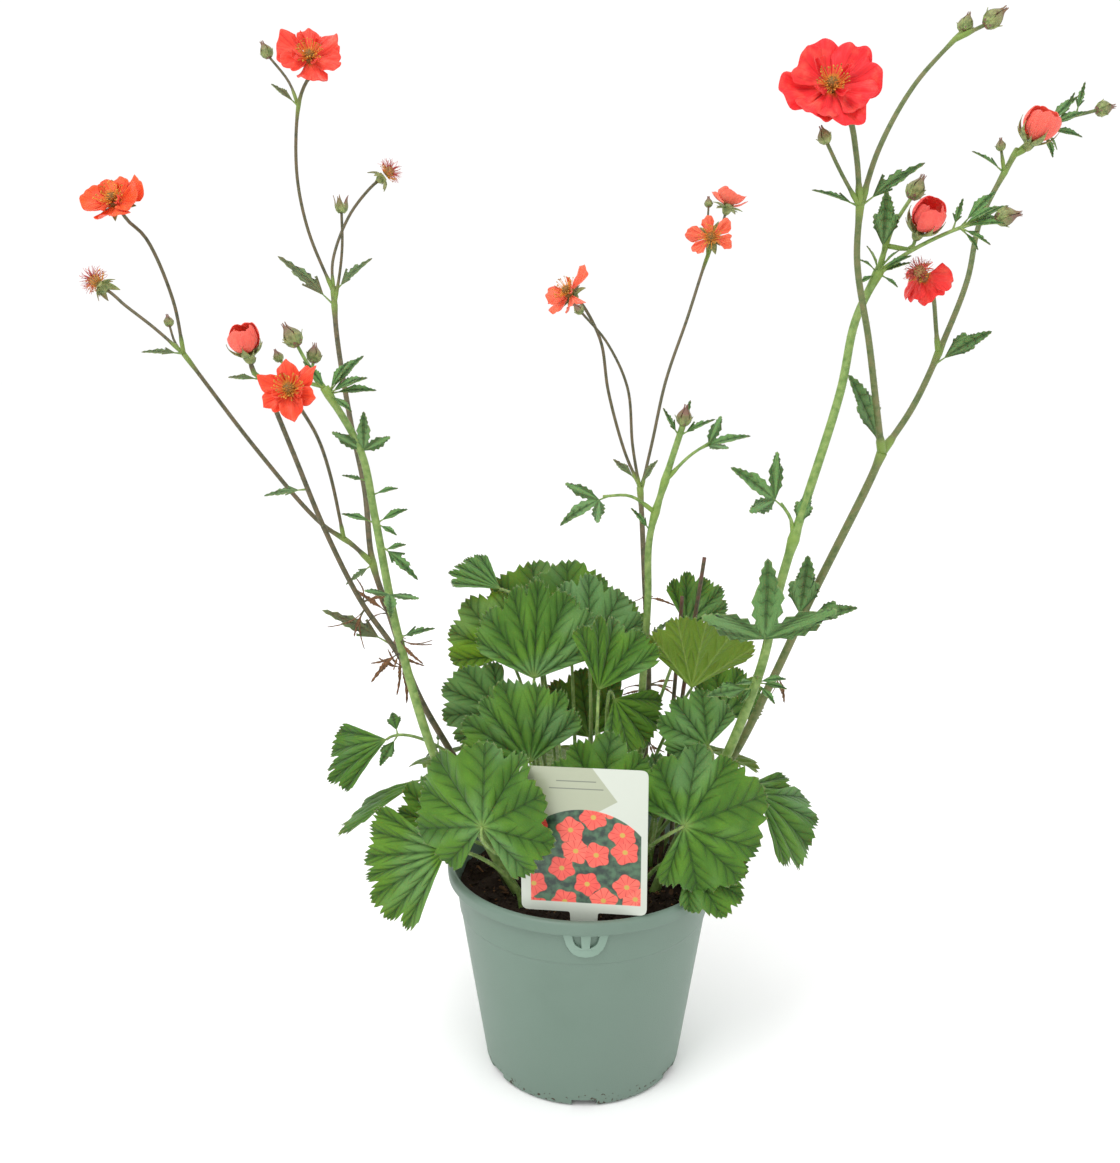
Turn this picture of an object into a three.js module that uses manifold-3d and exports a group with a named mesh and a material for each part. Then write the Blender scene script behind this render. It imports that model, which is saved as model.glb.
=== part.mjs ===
// A flowering geum in a round nursery pot, with its compost and plant label.
// Millimetres, +Z up. The origin is the middle of the pot's foot, and the label faces -Y.
import * as THREE from 'three';
import { mergeVertices } from 'three/addons/utils/BufferGeometryUtils.js';
import Module from 'manifold-3d';

const wasm = await Module();
wasm.setup();

// Driving dimensions of the pot, its compost and its label.
const potHeight = 133;
const rimRadius = 85;
const mouthRadius = 81;
const shoulderRadius = 80;
const bodyTopRadius = 77;
const footRadius = 62;
const lipHeight = 8;
const bandHeight = 22;
const wallThickness = 1.8;
const floorThickness = 3;
const footNotches = 6;
const notchWidth = 15;
const notchHeight = 5;
const compostHeight = 118;
const compostRoughness = 2.2;
const cardWidth = 71;
const cardHeight = 89;
const cardThickness = 0.8;

// Driving dimensions of the plant.
const gap = 0.3;
const footDepth = 15;
const leafThickness = 0.8;
const petalThickness = 0.7;
const stalkRadius = 1.5;
const calyxRadius = 3.2;
const calyxHeight = 6;
const discRadius = 3.4;
const discHeight = 3;

const root = new THREE.Group();

const vec = ([x, y, z]) => new THREE.Vector3(x, y, z);
const radians = THREE.MathUtils.degToRad;

// A closed geometry becomes a solid once its shared vertices are merged.
function solid(geometry) {
  const bare = geometry.clone();
  bare.deleteAttribute('normal');
  bare.deleteAttribute('uv');
  const merged = mergeVertices(bare, 1e-4);
  const index = merged.index.array;
  const kept = [];
  for (let i = 0; i < index.length; i += 3) {
    const [a, b, c] = index.slice(i, i + 3);
    if (a !== b && b !== c && c !== a) kept.push(a, b, c);
  }
  const vertProperties = new Float32Array(merged.attributes.position.array);
  return new wasm.Manifold(new wasm.Mesh({ numProp: 3, vertProperties, triVerts: new Uint32Array(kept) }));
}

function geometryOf(body) {
  const mesh = body.getMesh();
  const geometry = new THREE.BufferGeometry();
  geometry.setAttribute('position', new THREE.BufferAttribute(new Float32Array(mesh.vertProperties), 3));
  geometry.setIndex(new THREE.BufferAttribute(new Uint32Array(mesh.triVerts), 1));
  geometry.computeVertexNormals();
  return geometry;
}

const joined = (bodies) => bodies.reduce((whole, body) => whole.add(body));

function add(name, body, colour, roughness) {
  const material = new THREE.MeshStandardMaterial({ color: colour, roughness, metalness: 0 });
  const mesh = new THREE.Mesh(geometryOf(body), material);
  mesh.name = name;
  root.add(mesh);
}

// A local frame at a point: X along the first direction, Z as near to the second as it can be.
function frameAt(origin, along, face) {
  const x = along.clone().normalize();
  const z = face.clone().addScaledVector(x, -face.dot(x)).normalize();
  const y = z.clone().cross(x);
  return new THREE.Matrix4().makeBasis(x, y, z).setPosition(origin);
}

// A round stalk through the points, tapering from one radius to the other.
function stalk(points, fromRadius, toRadius, sides, steps) {
  const curve = new THREE.CatmullRomCurve3(points, false, 'centripetal');
  const section = new THREE.Shape();
  for (let i = 0; i < sides; i += 1) {
    const turn = (2 * Math.PI * i) / sides;
    const corner = [fromRadius * Math.cos(turn), fromRadius * Math.sin(turn)];
    if (i === 0) section.moveTo(...corner);
    else section.lineTo(...corner);
  }
  const settings = { steps, bevelEnabled: false, extrudePath: curve };
  const geometry = new THREE.ExtrudeGeometry(section, settings);
  const rings = curve.getSpacedPoints(steps);
  const position = geometry.attributes.position;
  const point = new THREE.Vector3();
  for (let i = 0; i < position.count; i += 1) {
    point.fromBufferAttribute(position, i);
    const distances = rings.map((ring) => ring.distanceToSquared(point));
    const nearest = distances.indexOf(Math.min(...distances));
    const share = 1 + (toRadius / fromRadius - 1) * (nearest / steps);
    point.sub(rings[nearest]).multiplyScalar(share).add(rings[nearest]);
    position.setXYZ(i, point.x, point.y, point.z);
  }
  return solid(geometry);
}

// A thin blade: its middle surface is thickened to both sides, with the same triangles on each, and it
// may run out to a point at its root.
function blade(points, triangles, thickness, pointed = false) {
  const normals = points.map(() => new THREE.Vector3());
  const edges = new Set();
  for (const [a, b, c] of triangles) {
    const normal = points[b].clone().sub(points[a]).cross(points[c].clone().sub(points[a]));
    [a, b, c].forEach((corner) => normals[corner].add(normal));
    [[a, b], [b, c], [c, a]].forEach(([from, to]) => edges.add(`${from} ${to}`));
  }
  const count = points.length;
  const positions = [];
  for (const side of [0.5, -0.5]) {
    points.forEach((point, i) => {
      const offset = pointed && i === 0 ? 0 : side * thickness;
      const moved = point.clone().addScaledVector(normals[i].clone().normalize(), offset);
      positions.push(moved.x, moved.y, moved.z);
    });
  }
  const index = [];
  for (const [a, b, c] of triangles) {
    index.push(a, b, c, a + count, c + count, b + count);
    for (const [from, to] of [[a, b], [b, c], [c, a]]) {
      if (edges.has(`${to} ${from}`)) continue;
      index.push(from + count, to + count, to, from + count, to, from);
    }
  }
  const geometry = new THREE.BufferGeometry();
  geometry.setAttribute('position', new THREE.Float32BufferAttribute(positions, 3));
  geometry.setIndex(index);
  return solid(geometry);
}

// The triangles of a fan, seen from its foot: the points are the foot, then one on the way to the end of
// each ray that is named, then each ray's end.
function fan(rays, ringShare, ringRays) {
  const places = [[0, 0]];
  ringRays.forEach((ray) => places.push([rays[ray][0], rays[ray][1] * ringShare]));
  rays.forEach((ray) => places.push(ray));
  const end = (ray) => 1 + ringRays.length + ray;
  const triangles = [[0, end(0), 1], [0, ringRays.length, end(rays.length - 1)]];
  let ring = 0;
  for (let ray = 0; ray < rays.length - 1; ray += 1) {
    if (ring + 1 < ringRays.length && ray + 0.5 > (ringRays[ring] + ringRays[ring + 1]) / 2) {
      triangles.push([0, 1 + ring, 2 + ring], [1 + ring, end(ray), 2 + ring]);
      ring += 1;
    }
    triangles.push([1 + ring, end(ray), end(ray + 1)]);
  }
  return { places, triangles };
}

// The cut edge of a leaf: teeth in lobes of three, and sides that are shorter than the tip by the taper.
function leafRays(length, spread, teeth, taper) {
  const rays = [];
  const toothAngle = (2 * spread) / teeth;
  for (let i = 0; i <= 2 * teeth; i += 1) {
    const angle = (i * toothAngle) / 2 - spread;
    const side = 0.5 + 0.5 * Math.exp(-((angle / taper) ** 2));
    const lobe = 1 + 0.06 * Math.cos((2 * Math.PI * angle) / (3 * toothAngle));
    const notch = i % 2 === 0 ? 0.86 : 1;
    rays.push([angle, length * side * lobe * notch]);
  }
  return rays;
}

// A leaf's blade: the tip bends down, the sides fold up or down, and the edge waves.
function leafBlade(shape) {
  const { hub, tip, face, spread = 80, taper = 80, teeth = 13, bend = 0.12, fold = 0.1, wave = 0.04 } = shape;
  const along = vec(tip).sub(vec(hub));
  const length = along.length();
  const rays = leafRays(length, spread, teeth, taper);
  const everySecondTip = rays.map((ray, i) => i).filter((i) => i % 4 === 1);
  const { places, triangles } = fan(rays, 0.52, everySecondTip);
  const place = frameAt(vec(hub), along, vec(face));
  const points = places.map(([angle, radius]) => {
    const turn = radians(angle);
    const x = radius * Math.cos(turn);
    const y = radius * Math.sin(turn);
    const far = (radius / length) ** 2;
    const ripple = wave * far * Math.sin(5 * turn);
    const z = length * (ripple - bend * far) + fold * Math.abs(y);
    return new THREE.Vector3(x, y, z).applyMatrix4(place);
  });
  return blade(points, triangles, leafThickness);
}

// A stem leaf, bract or leaflet: a short narrow root that widens to a cut edge of one to five lobes.
const bractShapes = {
  narrow: [[0, 1]],
  three: [[-30, 0.56], [-12, 0.38], [0, 1], [12, 0.38], [30, 0.56]],
  leaflet: [[-36, 0.4], [-22, 0.66], [-11, 0.56], [0, 1], [11, 0.56], [22, 0.66], [36, 0.4]],
  trio: [[-80, 0.26], [-66, 0.56], [-54, 0.42], [-42, 0.58], [-27, 0.22], [-16, 0.6], [-8, 0.66], [0, 1],
    [8, 0.66], [16, 0.6], [27, 0.22], [42, 0.58], [54, 0.42], [66, 0.56], [80, 0.26]],
};
const bractFace = [0, -0.8, 1];
const bractRoot = 4;

function bract([shape, from, to, bend = 0.12, face = bractFace]) {
  const foot = vec(from);
  const along = vec(to).sub(foot);
  const length = along.length();
  const root = Math.max(bractRoot, 0.2 * length);
  const half = shape === 'narrow' ? 0.09 * length : 0.8;
  const rays = bractShapes[shape];
  const middle = 3 + (rays.length - 1) / 2;
  const flat = [[0, 0], [root, -half], [root, half]];
  for (const [angle, share] of rays) {
    const turn = radians(angle);
    const reach = share * (length - root);
    flat.push([root + reach * Math.cos(turn), reach * Math.sin(turn)]);
  }
  const triangles = [[0, 1, 2], [1, middle, 2]];
  for (let i = 3; i < middle; i += 1) triangles.push([1, i, i + 1]);
  for (let i = middle; i < flat.length - 1; i += 1) triangles.push([2, i, i + 1]);
  const place = frameAt(foot, along, vec(face));
  const points = flat.map(([x, y]) => {
    const z = 0.25 * Math.abs(y) - bend * length * (x / length) ** 2;
    return new THREE.Vector3(x, y, z).applyMatrix4(place);
  });
  return blade(points, triangles, leafThickness, true);
}

// A closed bud: a pointed oval with three of its sepals' tips standing out.
function bud(end, [direction, radius]) {
  const profile = [[0, -1.1], [0.75, -0.75], [1, 0], [0.62, 0.9], [0, 1.2]];
  const outline = profile.map(([r, z]) => new THREE.Vector2(r * radius, z * radius));
  const body = new THREE.LatheGeometry(outline, 6);
  const position = body.attributes.position;
  for (let i = 0; i < position.count; i += 1) {
    const isTip = Math.floor(i / profile.length) % 2 === 0 && i % profile.length === 3;
    if (isTip) position.setXYZ(i, 1.3 * position.getX(i), 1.6 * radius, 1.3 * position.getZ(i));
  }
  body.rotateX(Math.PI / 2);
  const way = vec(direction).normalize();
  const centre = end.clone().addScaledVector(way, 0.6 * radius);
  return solid(body).transform(frameAt(centre, new THREE.Vector3(1, 0, 0.3).cross(way), way).elements);
}

// A flower's frame: its centre is the top of its green cup, and Z is the way that it faces.
function flowerFrame({ centre, axis }) {
  const z = vec(axis).normalize();
  const side = new THREE.Vector3(1, 0, 0.2).cross(z);
  return frameAt(vec(centre), side, z);
}

// A point of a petal or sepal on its arc: it leaves the axis level and curls up by the arc's angle.
function curled(radius, turn, length, arc, start, wave) {
  const sweep = (arc * radius) / length;
  const out = (length / arc) * Math.sin(sweep);
  const up = (length / arc) * (1 - Math.cos(sweep));
  const ripple = wave * length * (radius / length) ** 2 * Math.cos(3 * turn + 1);
  return new THREE.Vector3(out * Math.cos(turn), out * Math.sin(turn), start + up + ripple);
}

// The green cup under a flower, with five pointed sepals that spread below the petals.
function calyx(flower) {
  const { reach, rise } = flower.sepals ?? { reach: 11, rise: -1.5 };
  const sepals = 5;
  const positions = [0, 0, -calyxHeight, 0, 0, -gap];
  const index = [];
  for (let i = 0; i < sepals; i += 1) {
    const turn = (2 * Math.PI * i) / sepals;
    const between = turn + Math.PI / sepals;
    positions.push(calyxRadius * Math.cos(turn), calyxRadius * Math.sin(turn), -2);
    positions.push(reach * Math.cos(turn), reach * Math.sin(turn), rise);
    positions.push(1.2 * calyxRadius * Math.cos(between), 1.2 * calyxRadius * Math.sin(between), -0.9);
    const [low, tip, notch] = [2 + 3 * i, 3 + 3 * i, 4 + 3 * i];
    const nextLow = 2 + 3 * ((i + 1) % sepals);
    index.push(0, nextLow, low, low, nextLow, notch, low, notch, tip, nextLow, nextLow + 1, notch);
    index.push(1, tip, notch, 1, notch, nextLow + 1);
  }
  const geometry = new THREE.BufferGeometry();
  geometry.setAttribute('position', new THREE.Float32BufferAttribute(positions, 3));
  geometry.setIndex(index);
  return solid(geometry).transform(flowerFrame(flower).elements);
}

// Broad, waved petals in whorls on a small disc. Some flowers have lost a few of theirs.
const petalRays = [[-1, 0.62], [-0.52, 1], [0, 0.92], [0.56, 0.98], [1, 0.62]];
const whorlStarts = [0.5, 1.5, 2.5];
const whorlCurls = [0.85, 1.2, 1.5];
const whorlDroops = [1.25, 0.9, 0.7];

function petals(flower) {
  const { length, arc, count, missing = [], wave = 0.1 } = flower;
  const disc = new THREE.CylinderGeometry(discRadius, discRadius, discHeight, 6);
  disc.rotateX(Math.PI / 2);
  disc.translate(0, 0, discHeight / 2);
  const pieces = [solid(disc)];
  const half = Math.PI / count + 0.16;
  for (let i = 0; i < count; i += 1) {
    if (missing.includes(i)) continue;
    const whorl = i === count - 1 && count % 2 === 1 ? 2 : i % 2;
    const reach = length * (1 - 0.1 * whorl);
    const rays = petalRays.map(([side, share]) => [side * half, share * reach]);
    const { places, triangles } = fan(rays, 0.55, [2]);
    const middle = (2 * Math.PI * i) / count;
    const bend = arc * (arc > 0 ? whorlCurls : whorlDroops)[whorl];
    const points = places.map(([turn, radius]) => {
      const far = 1.2 + radius * (1 - 1.2 / reach);
      return curled(far, middle + turn, reach, bend, whorlStarts[whorl], wave);
    });
    pieces.push(blade(points, triangles, petalThickness));
  }
  return joined(pieces).transform(flowerFrame(flower).elements);
}

// The dome of pistils with its ring of stamens, just above the petals' disc.
function flowerCentre(flower) {
  const base = discHeight + gap;
  const profile = [[0, 0], [3, 0], [3.3, 1.6], [1.9, 3.4], [0, 4.1]];
  const dome = new THREE.LatheGeometry(profile.map(([r, z]) => new THREE.Vector2(r, z)), 6);
  dome.rotateX(Math.PI / 2);
  const pieces = [solid(dome)];
  const stamens = 6;
  for (let i = 0; i < stamens; i += 1) {
    const stamen = new THREE.ConeGeometry(0.8, 7.5, 3);
    stamen.rotateX(Math.PI / 2);
    stamen.translate(0, 0, 3.2);
    stamen.rotateY(0.95);
    stamen.translate(1.3, 0, 1.8);
    stamen.rotateZ((2 * Math.PI * i) / stamens);
    pieces.push(solid(stamen));
  }
  const place = flowerFrame(flower);
  place.multiply(new THREE.Matrix4().makeTranslation(0, 0, base));
  return joined(pieces).transform(place.elements);
}

// A seed head: a dome bristling with dry styles.
function seedHead(flower, rise) {
  const styles = 10;
  const core = new THREE.SphereGeometry(3.4, 6, 4);
  core.rotateX(Math.PI / 2);
  core.translate(0, 0, 3.6);
  const pieces = [solid(core)];
  for (let i = 0; i < styles; i += 1) {
    const height = 1 - (2 * (i + 0.5)) / (styles + 4);
    const turn = i * 2.4;
    const flat = Math.sqrt(1 - height * height);
    const way = new THREE.Vector3(flat * Math.cos(turn), flat * Math.sin(turn), height);
    const style = new THREE.ConeGeometry(0.75, 6.5, 3);
    style.translate(0, 5, 0);
    style.applyQuaternion(new THREE.Quaternion().setFromUnitVectors(new THREE.Vector3(0, 1, 0), way));
    style.translate(0, 0, 3.6);
    pieces.push(solid(style));
  }
  const place = flowerFrame(flower);
  place.multiply(new THREE.Matrix4().makeTranslation(0, 0, rise + gap));
  return joined(pieces).transform(place.elements);
}

// The flowers: centre of the green cup, way that they face, petal length, curl and number.
const flowers = {
  left_top: { centre: [-158, 37, 608], axis: [0.1, -0.85, 0.5], length: 22, arc: 0.45, count: 6 },
  left_far: { centre: [-243, -50, 519], axis: [-0.2, -0.7, 0.65], length: 18, arc: 0.5, count: 6 },
  left_front: { centre: [-151, -80, 425], axis: [0, -0.9, 0.45], length: 19, arc: 0.4, count: 6 },
  left_cup: { centre: [-177, -60, 444], axis: [-0.1, -0.4, 0.9], length: 16, arc: 1.9, count: 5 },
  centre_left: { centre: [-8, 48, 478], axis: [-0.6, -0.5, 0.5], length: 19, arc: 0.3, count: 6,
    missing: [1, 3] },
  centre_low: { centre: [83, 97, 515], axis: [-0.2, -0.9, 0.1], length: 16, arc: 0.3, count: 6,
    missing: [0] },
  centre_high: { centre: [96, 118, 537], axis: [0.3, 0.1, 0.9], length: 15, arc: 1.1, count: 6,
    missing: [3] },
  right_big: { centre: [114, -87, 567], axis: [-0.1, -0.85, 0.4], length: 25, arc: 0.4, count: 8 },
  right_cup: { centre: [175, -39, 507], axis: [0.2, -0.6, 0.8], length: 18, arc: 1.9, count: 5 },
  right_fading: { centre: [182, -29, 483], axis: [-0.6, -0.6, 0.5], length: 17, arc: -0.9, count: 6,
    missing: [2], sepals: { reach: 6, rise: -8 } },
  right_far: { centre: [257, 30, 563], axis: [0.3, -0.4, 0.9], length: 20, arc: 1.8, count: 5 },
};

const seedHeads = {
  left: { centre: [-273, -4, 481], axis: [-0.7, 0.2, 0.5], sepals: { reach: 8, rise: -7 } },
  top: { centre: [-125, 89, 552], axis: [0.7, 0.2, 0.6], sepals: { reach: 8, rise: -7 } },
};

// The flowering stems: the foot's place in the compost, the main stem with its width at each end and its
// sides, branches with their widths and the bud at their tip, if any, stalks that end in a flower, and stem
// leaves and bracts.
const stems = {
  left_front: {
    foot: [-40, -22],
    main: [[-62, -26, 160], [-85, -30, 202], [-106, -38, 284], [-116, -45, 354], [-122, -49, 392],
      [-139, -54, 426]],
    radii: [3.1, 1.9],
    sides: 6,
    branches: [
      [[[-138, -54, 424], [-147, -55, 438], [-153, -54, 449]], 1.3, 1.1, [[-0.5, 0, 0.8], 4.6]],
      [[[-136, -53, 421], [-146, -48, 432], [-146, -46, 440]], 1.1, 1, [[0.1, 0.2, 0.9], 3.6]],
      [[[-138, -54, 425], [-153, -48, 430], [-165, -42, 440]], 1, 0.9, [[-0.4, 0.1, 0.9], 2.4]],
    ],
    bracts: [
      ['trio', [-119, -48, 386], [-119, -54, 413], 0.05, [0, -1, 0.3]],
      ['three', [-118, -47, 374], [-132, -50, 380]],
      ['trio', [-111, -40, 311], [-105, -66, 311], 0.3, [0.2, -0.2, 1]],
      ['three', [-107, -38, 284], [-86, -46, 294]],
      ['narrow', [-115, -44, 335], [-100, -50, 342]],
      ['three', [-101, -50, 341], [-92, -55, 324]],
      ['three', [-136, -54, 424], [-121, -60, 432]],
    ],
  },
  left_thin: {
    foot: [-48, -8],
    main: [[-70, -9, 165], [-92, -10, 210], [-107, -14, 262], [-130, -22, 303], [-146, -36, 347],
      [-158, -48, 389], [-170, -58, 430]],
    radii: [1.9, 1.3],
    sides: 5,
    branches: [[[[-168, -56, 424], [-175, -52, 432], [-178, -50, 439]], 0.9, 0.8, [[-0.2, 0.2, 0.9], 2.3]]],
    stalks: [[[[-170, -58, 429]], 'left_cup', 1.2]],
    bracts: [
      ['three', [-154, -43, 368], [-177, -45, 369]],
      ['three', [-115, -15, 276], [-150, -24, 300]],
      ['narrow', [-170, -58, 432], [-187, -62, 433]],
    ],
  },
  left_rear: {
    foot: [-46, 8],
    main: [[-62, 5, 165], [-84, 2, 205], [-103, 6, 240], [-119, 9, 289], [-128, 10, 321],
      [-134, 28, 361], [-143, 40, 400], [-152, 52, 454], [-154, 58, 483]],
    radii: [2.2, 1.5],
    sides: 6,
    branches: [
      [[[-127, 10, 318], [-139, 6, 331], [-156, 0, 345], [-187, -10, 387], [-224, -18, 443]], 1.7, 1.3],
      [[[-152, 56, 470], [-149, 56, 493], [-146, 50, 508], [-145, 46, 526]], 1.1, 1, [[0, 0, 1], 3.4]],
      [[[-223, -18, 441], [-231, -10, 449], [-236, -3, 459]], 0.9, 0.8, [[-0.2, 0.2, 0.9], 2.4]],
    ],
    stalks: [
      [[[-153, 57, 478], [-169, 62, 517], [-174, 61, 550], [-170, 56, 587], [-164, 50, 598]],
        'left_top', 1.2],
      [[[-224, -18, 441], [-224, -30, 472], [-232, -42, 503]], 'left_far', 1.1],
      [[[-143, 4, 334], [-145, -18, 374], [-146, -46, 400]], 'left_front', 1.2],
      [[[-223, -18, 442], [-241, -13, 457], [-260, -8, 471]], 'head_left', 1.1],
      [[[-154, 57, 480], [-155, 64, 498], [-146, 78, 527]], 'head_top', 1.1],
    ],
    twigs: [
      [[[-170, 57, 586], [-176, 60, 601], [-188, 62, 616]], 1, 0.9, [[-0.4, 0, 0.9], 3.4]],
    ],
    bracts: [
      ['three', [-223, -18, 442], [-246, -22, 446]],
      ['three', [-153, 56, 473], [-184, 52, 503]],
      ['three', [-153, 57, 478], [-131, 50, 501]],
      ['narrow', [-170, 56, 586], [-183, 50, 599]],
      ['three', [-127, 10, 320], [-144, 4, 308]],
    ],
  },
  centre_green: {
    foot: [30, 7],
    main: [[34, 7, 180], [36, 5, 240], [38, -2, 299], [38, -7, 337], [46, -13, 372], [55, -20, 405]],
    tip: [[0.1, -0.1, 0.9], 4],
    radii: [2.7, 1.8],
    sides: 6,
    branches: [
      [[[38, -8, 352], [26, -16, 363], [10, -24, 364]], 1.3, 0.9],
      [[[46, -13, 372], [59, -17, 386], [70, -20, 394]], 1.3, 0.9],
    ],
    bracts: [
      ['trio', [14, -22, 365], [-14, -36, 356], 0.3, [-0.3, -0.8, 0.8]],
      ['trio', [64, -18, 389], [90, -24, 402], 0.2, [0.2, -0.6, 1]],
      ['three', [38, -7, 342], [28, -12, 356]],
      ['three', [52, -19, 397], [41, -26, 413], -0.1],
      ['three', [53, -20, 399], [70, -28, 409]],
      ['three', [53, -19, 399], [60, -8, 416], -0.1],
    ],
  },
  centre_brown: {
    foot: [38, 24],
    main: [[40, 28, 180], [42, 31, 239], [39, 40, 302], [37, 48, 346], [36, 50, 360]],
    radii: [2, 1.6],
    sides: 5,
    branches: [
      [[[36, 50, 358], [31, 50, 386], [27, 44, 422], [14, 39, 449], [-2, 31, 467]], 1.2, 0.9,
        [[-0.6, -0.2, 0.6], 2.6]],
    ],
    stalks: [
      [[[36, 50, 359], [27, 56, 380], [16, 62, 419], [11, 63, 450]], 'centre_left', 1.2],
      [[[36, 50, 358], [44, 60, 387], [53, 72, 425], [68, 90, 465], [79, 102, 497]], 'centre_low', 1.2],
      [[[80, 103, 502], [86, 110, 518]], 'centre_high', 1],
    ],
    twigs: [
      [[[81, 104, 505], [82, 111, 524], [83, 116, 537]], 0.9, 0.8, [[0, 0.2, 0.9], 2.4]],
    ],
    bracts: [
      ['narrow', [33, 51, 364], [20, 58, 378]],
      ['narrow', [37, 50, 362], [44, 40, 378]],
      ['three', [41, 32, 252], [31, 22, 274]],
      ['three', [41, 34, 264], [53, 26, 280]],
    ],
  },
  right_front: {
    foot: [44, -17],
    main: [[60, -19, 158], [81, -22, 199], [102, -31, 266], [109, -34, 309], [117, -36, 344],
      [138, -37, 423], [145, -34, 461], [158, -31, 489]],
    radii: [3.2, 2.2],
    sides: 6,
    branches: [
      [[[156, -31, 486], [163, -29, 508], [174, -26, 526]], 1.5, 1.2, [[0.4, 0, 0.8], 4.6]],
      [[[157, -31, 487], [172, -38, 497], [195, -46, 508], [212, -50, 512]], 1.4, 1.1,
        [[0.9, -0.2, 0.2], 4.4]],
      [[[117, -36, 341], [114, -37, 353], [108, -38, 362]], 1.3, 1],
    ],
    stalks: [[[[161, -30, 499]], 'right_cup', 1.2]],
    bracts: [
      ['trio', [109, -38, 360], [82, -46, 384], 0.15, [0.2, -0.9, 0.6]],
      ['leaflet', [117, -36, 345], [123, -40, 370], 0.1],
      ['trio', [103, -33, 270], [100, -52, 332], 0.05, [0, -1, 0.3]],
      ['leaflet', [100, -29, 250], [72, -42, 255], 0.2],
      ['three', [156, -31, 486], [170, -40, 492]],
      ['leaflet', [159, -31, 492], [157, -38, 527], 0.05],
      ['three', [192, -45, 506], [193, -50, 522], -0.1],
      ['three', [194, -46, 507], [207, -56, 500]],
    ],
  },
  right_rear: {
    foot: [52, 6],
    main: [[70, 8, 160], [94, 8, 197], [115, 4, 246], [136, -3, 302], [163, -15, 372], [168, -18, 388]],
    radii: [2.8, 2.3],
    sides: 6,
    branches: [
      [[[168, -18, 386], [159, -33, 416], [149, -48, 450], [138, -58, 490], [137, -62, 520]], 1.9, 1.6],
      [[[137, -62, 518], [147, -54, 545], [167, -40, 578], [195, -27, 608]], 1.5, 1.1,
        [[0.3, 0.2, 0.9], 3.6]],
      [[[137, -62, 517], [124, -71, 532], [115, -77, 545]], 1, 0.9, [[-0.4, -0.2, 0.8], 3]],
      [[[168, -18, 386], [187, -9, 414], [207, 4, 453], [221, 15, 485], [229, 24, 518], [251, 34, 559]],
        1.9, 1.4],
      [[[250, 34, 557], [273, 40, 574], [302, 47, 583]], 1.2, 1, [[0.9, 0.1, 0.2], 4]],
      [[[243, 31, 546], [239, 27, 558]], 0.9, 0.8, [[-0.2, -0.2, 0.9], 2.4]],
      [[[190, -29, 602], [206, -30, 610]], 1.1, 1, [[0.7, -0.2, 0.6], 4.4]],
    ],
    stalks: [
      [[[137, -62, 517], [132, -69, 540], [124, -79, 557]], 'right_big', 1.4],
      [[[202, 1, 445], [198, -5, 458], [192, -17, 472]], 'right_fading', 1.2],
      [[[250, 34, 557]], 'right_far', 1.2],
    ],
    bracts: [
      ['leaflet', [167, -18, 388], [148, -28, 432], 0.1],
      ['three', [137, -62, 518], [113, -67, 526]],
      ['three', [137, -62, 518], [165, -68, 539]],
      ['leaflet', [199, -1, 438], [226, -10, 458], 0.15],
      ['three', [243, 31, 546], [223, 22, 558]],
      ['three', [289, 44, 580], [290, 42, 597], -0.1],
      ['three', [278, 41, 576], [283, 36, 590], -0.1],
      ['leaflet', [129, -1, 283], [130, -14, 327], 0.05],
      ['leaflet', [130, -1, 286], [159, -12, 299], 0.15],
    ],
  },
};

const stemRingSpacing = 36;

// A shoot keeps the centres of its rings, so that what grows from it can be rooted on its middle.
function shoot(points, fromRadius, toRadius, sides) {
  const length = points.slice(1).reduce((sum, point, i) => sum + vec(point).distanceTo(vec(points[i])), 0);
  const steps = Math.max(2, Math.ceil(length / stemRingSpacing));
  const way = points.map(vec);
  const rings = new THREE.CatmullRomCurve3(way, false, 'centripetal').getSpacedPoints(steps);
  return { body: stalk(way, fromRadius, toRadius, sides, steps), rings };
}

// Where a shoot leaves the compost, and its straight way through it.
function footOf(foot, next) {
  const ground = new THREE.Vector3(...foot, compostHeight);
  const way = vec(next).sub(ground).normalize();
  return { ground, way, buried: ground.clone().addScaledVector(way, -footDepth).toArray() };
}

function rootedOn(shoots, point) {
  const target = vec(point);
  let nearest = null;
  for (const { rings } of shoots) {
    for (let i = 0; i < rings.length - 1; i += 1) {
      const found = new THREE.Vector3();
      new THREE.Line3(rings[i], rings[i + 1]).closestPointToPoint(target, true, found);
      if (!nearest || found.distanceTo(target) < nearest.distanceTo(target)) nearest = found;
    }
  }
  return nearest.toArray();
}

// Branches leave the main shoot, stalks carry the flowers, and twigs leave the stalks.
function stem({ foot, main, radii, sides, tip, branches = [], stalks = [], twigs = [], bracts = [] }) {
  const { ground, buried } = footOf(foot, main[0]);
  const shoots = [shoot([buried, ground.toArray(), ...main], ...radii, sides)];
  const heads = tip ? [bud(vec(main.at(-1)), tip)] : [];
  const grow = ([[start, ...points], from, to, ownTip]) => {
    shoots.push(shoot([rootedOn(shoots, start), ...points], from, to, 4));
    if (ownTip) heads.push(bud(vec(points.at(-1)), ownTip));
  };
  branches.forEach(grow);
  for (const [[start, ...points], name, radius] of stalks) {
    const flower = name.startsWith('head_') ? seedHeads[name.slice(5)] : flowers[name];
    const back = vec(flower.axis).normalize();
    const ends = [-11, -3].map((reach) => vec(flower.centre).addScaledVector(back, reach).toArray());
    shoots.push(shoot([rootedOn(shoots, start), ...points, ...ends], radius, radius, 4));
    heads.push(calyx(flower));
  }
  twigs.forEach(grow);
  const small = bracts.map(([shape, from, ...rest]) => bract([shape, rootedOn(shoots, from), ...rest]));
  return joined([...shoots.map(({ body }) => body), ...heads, ...small]);
}

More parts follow.
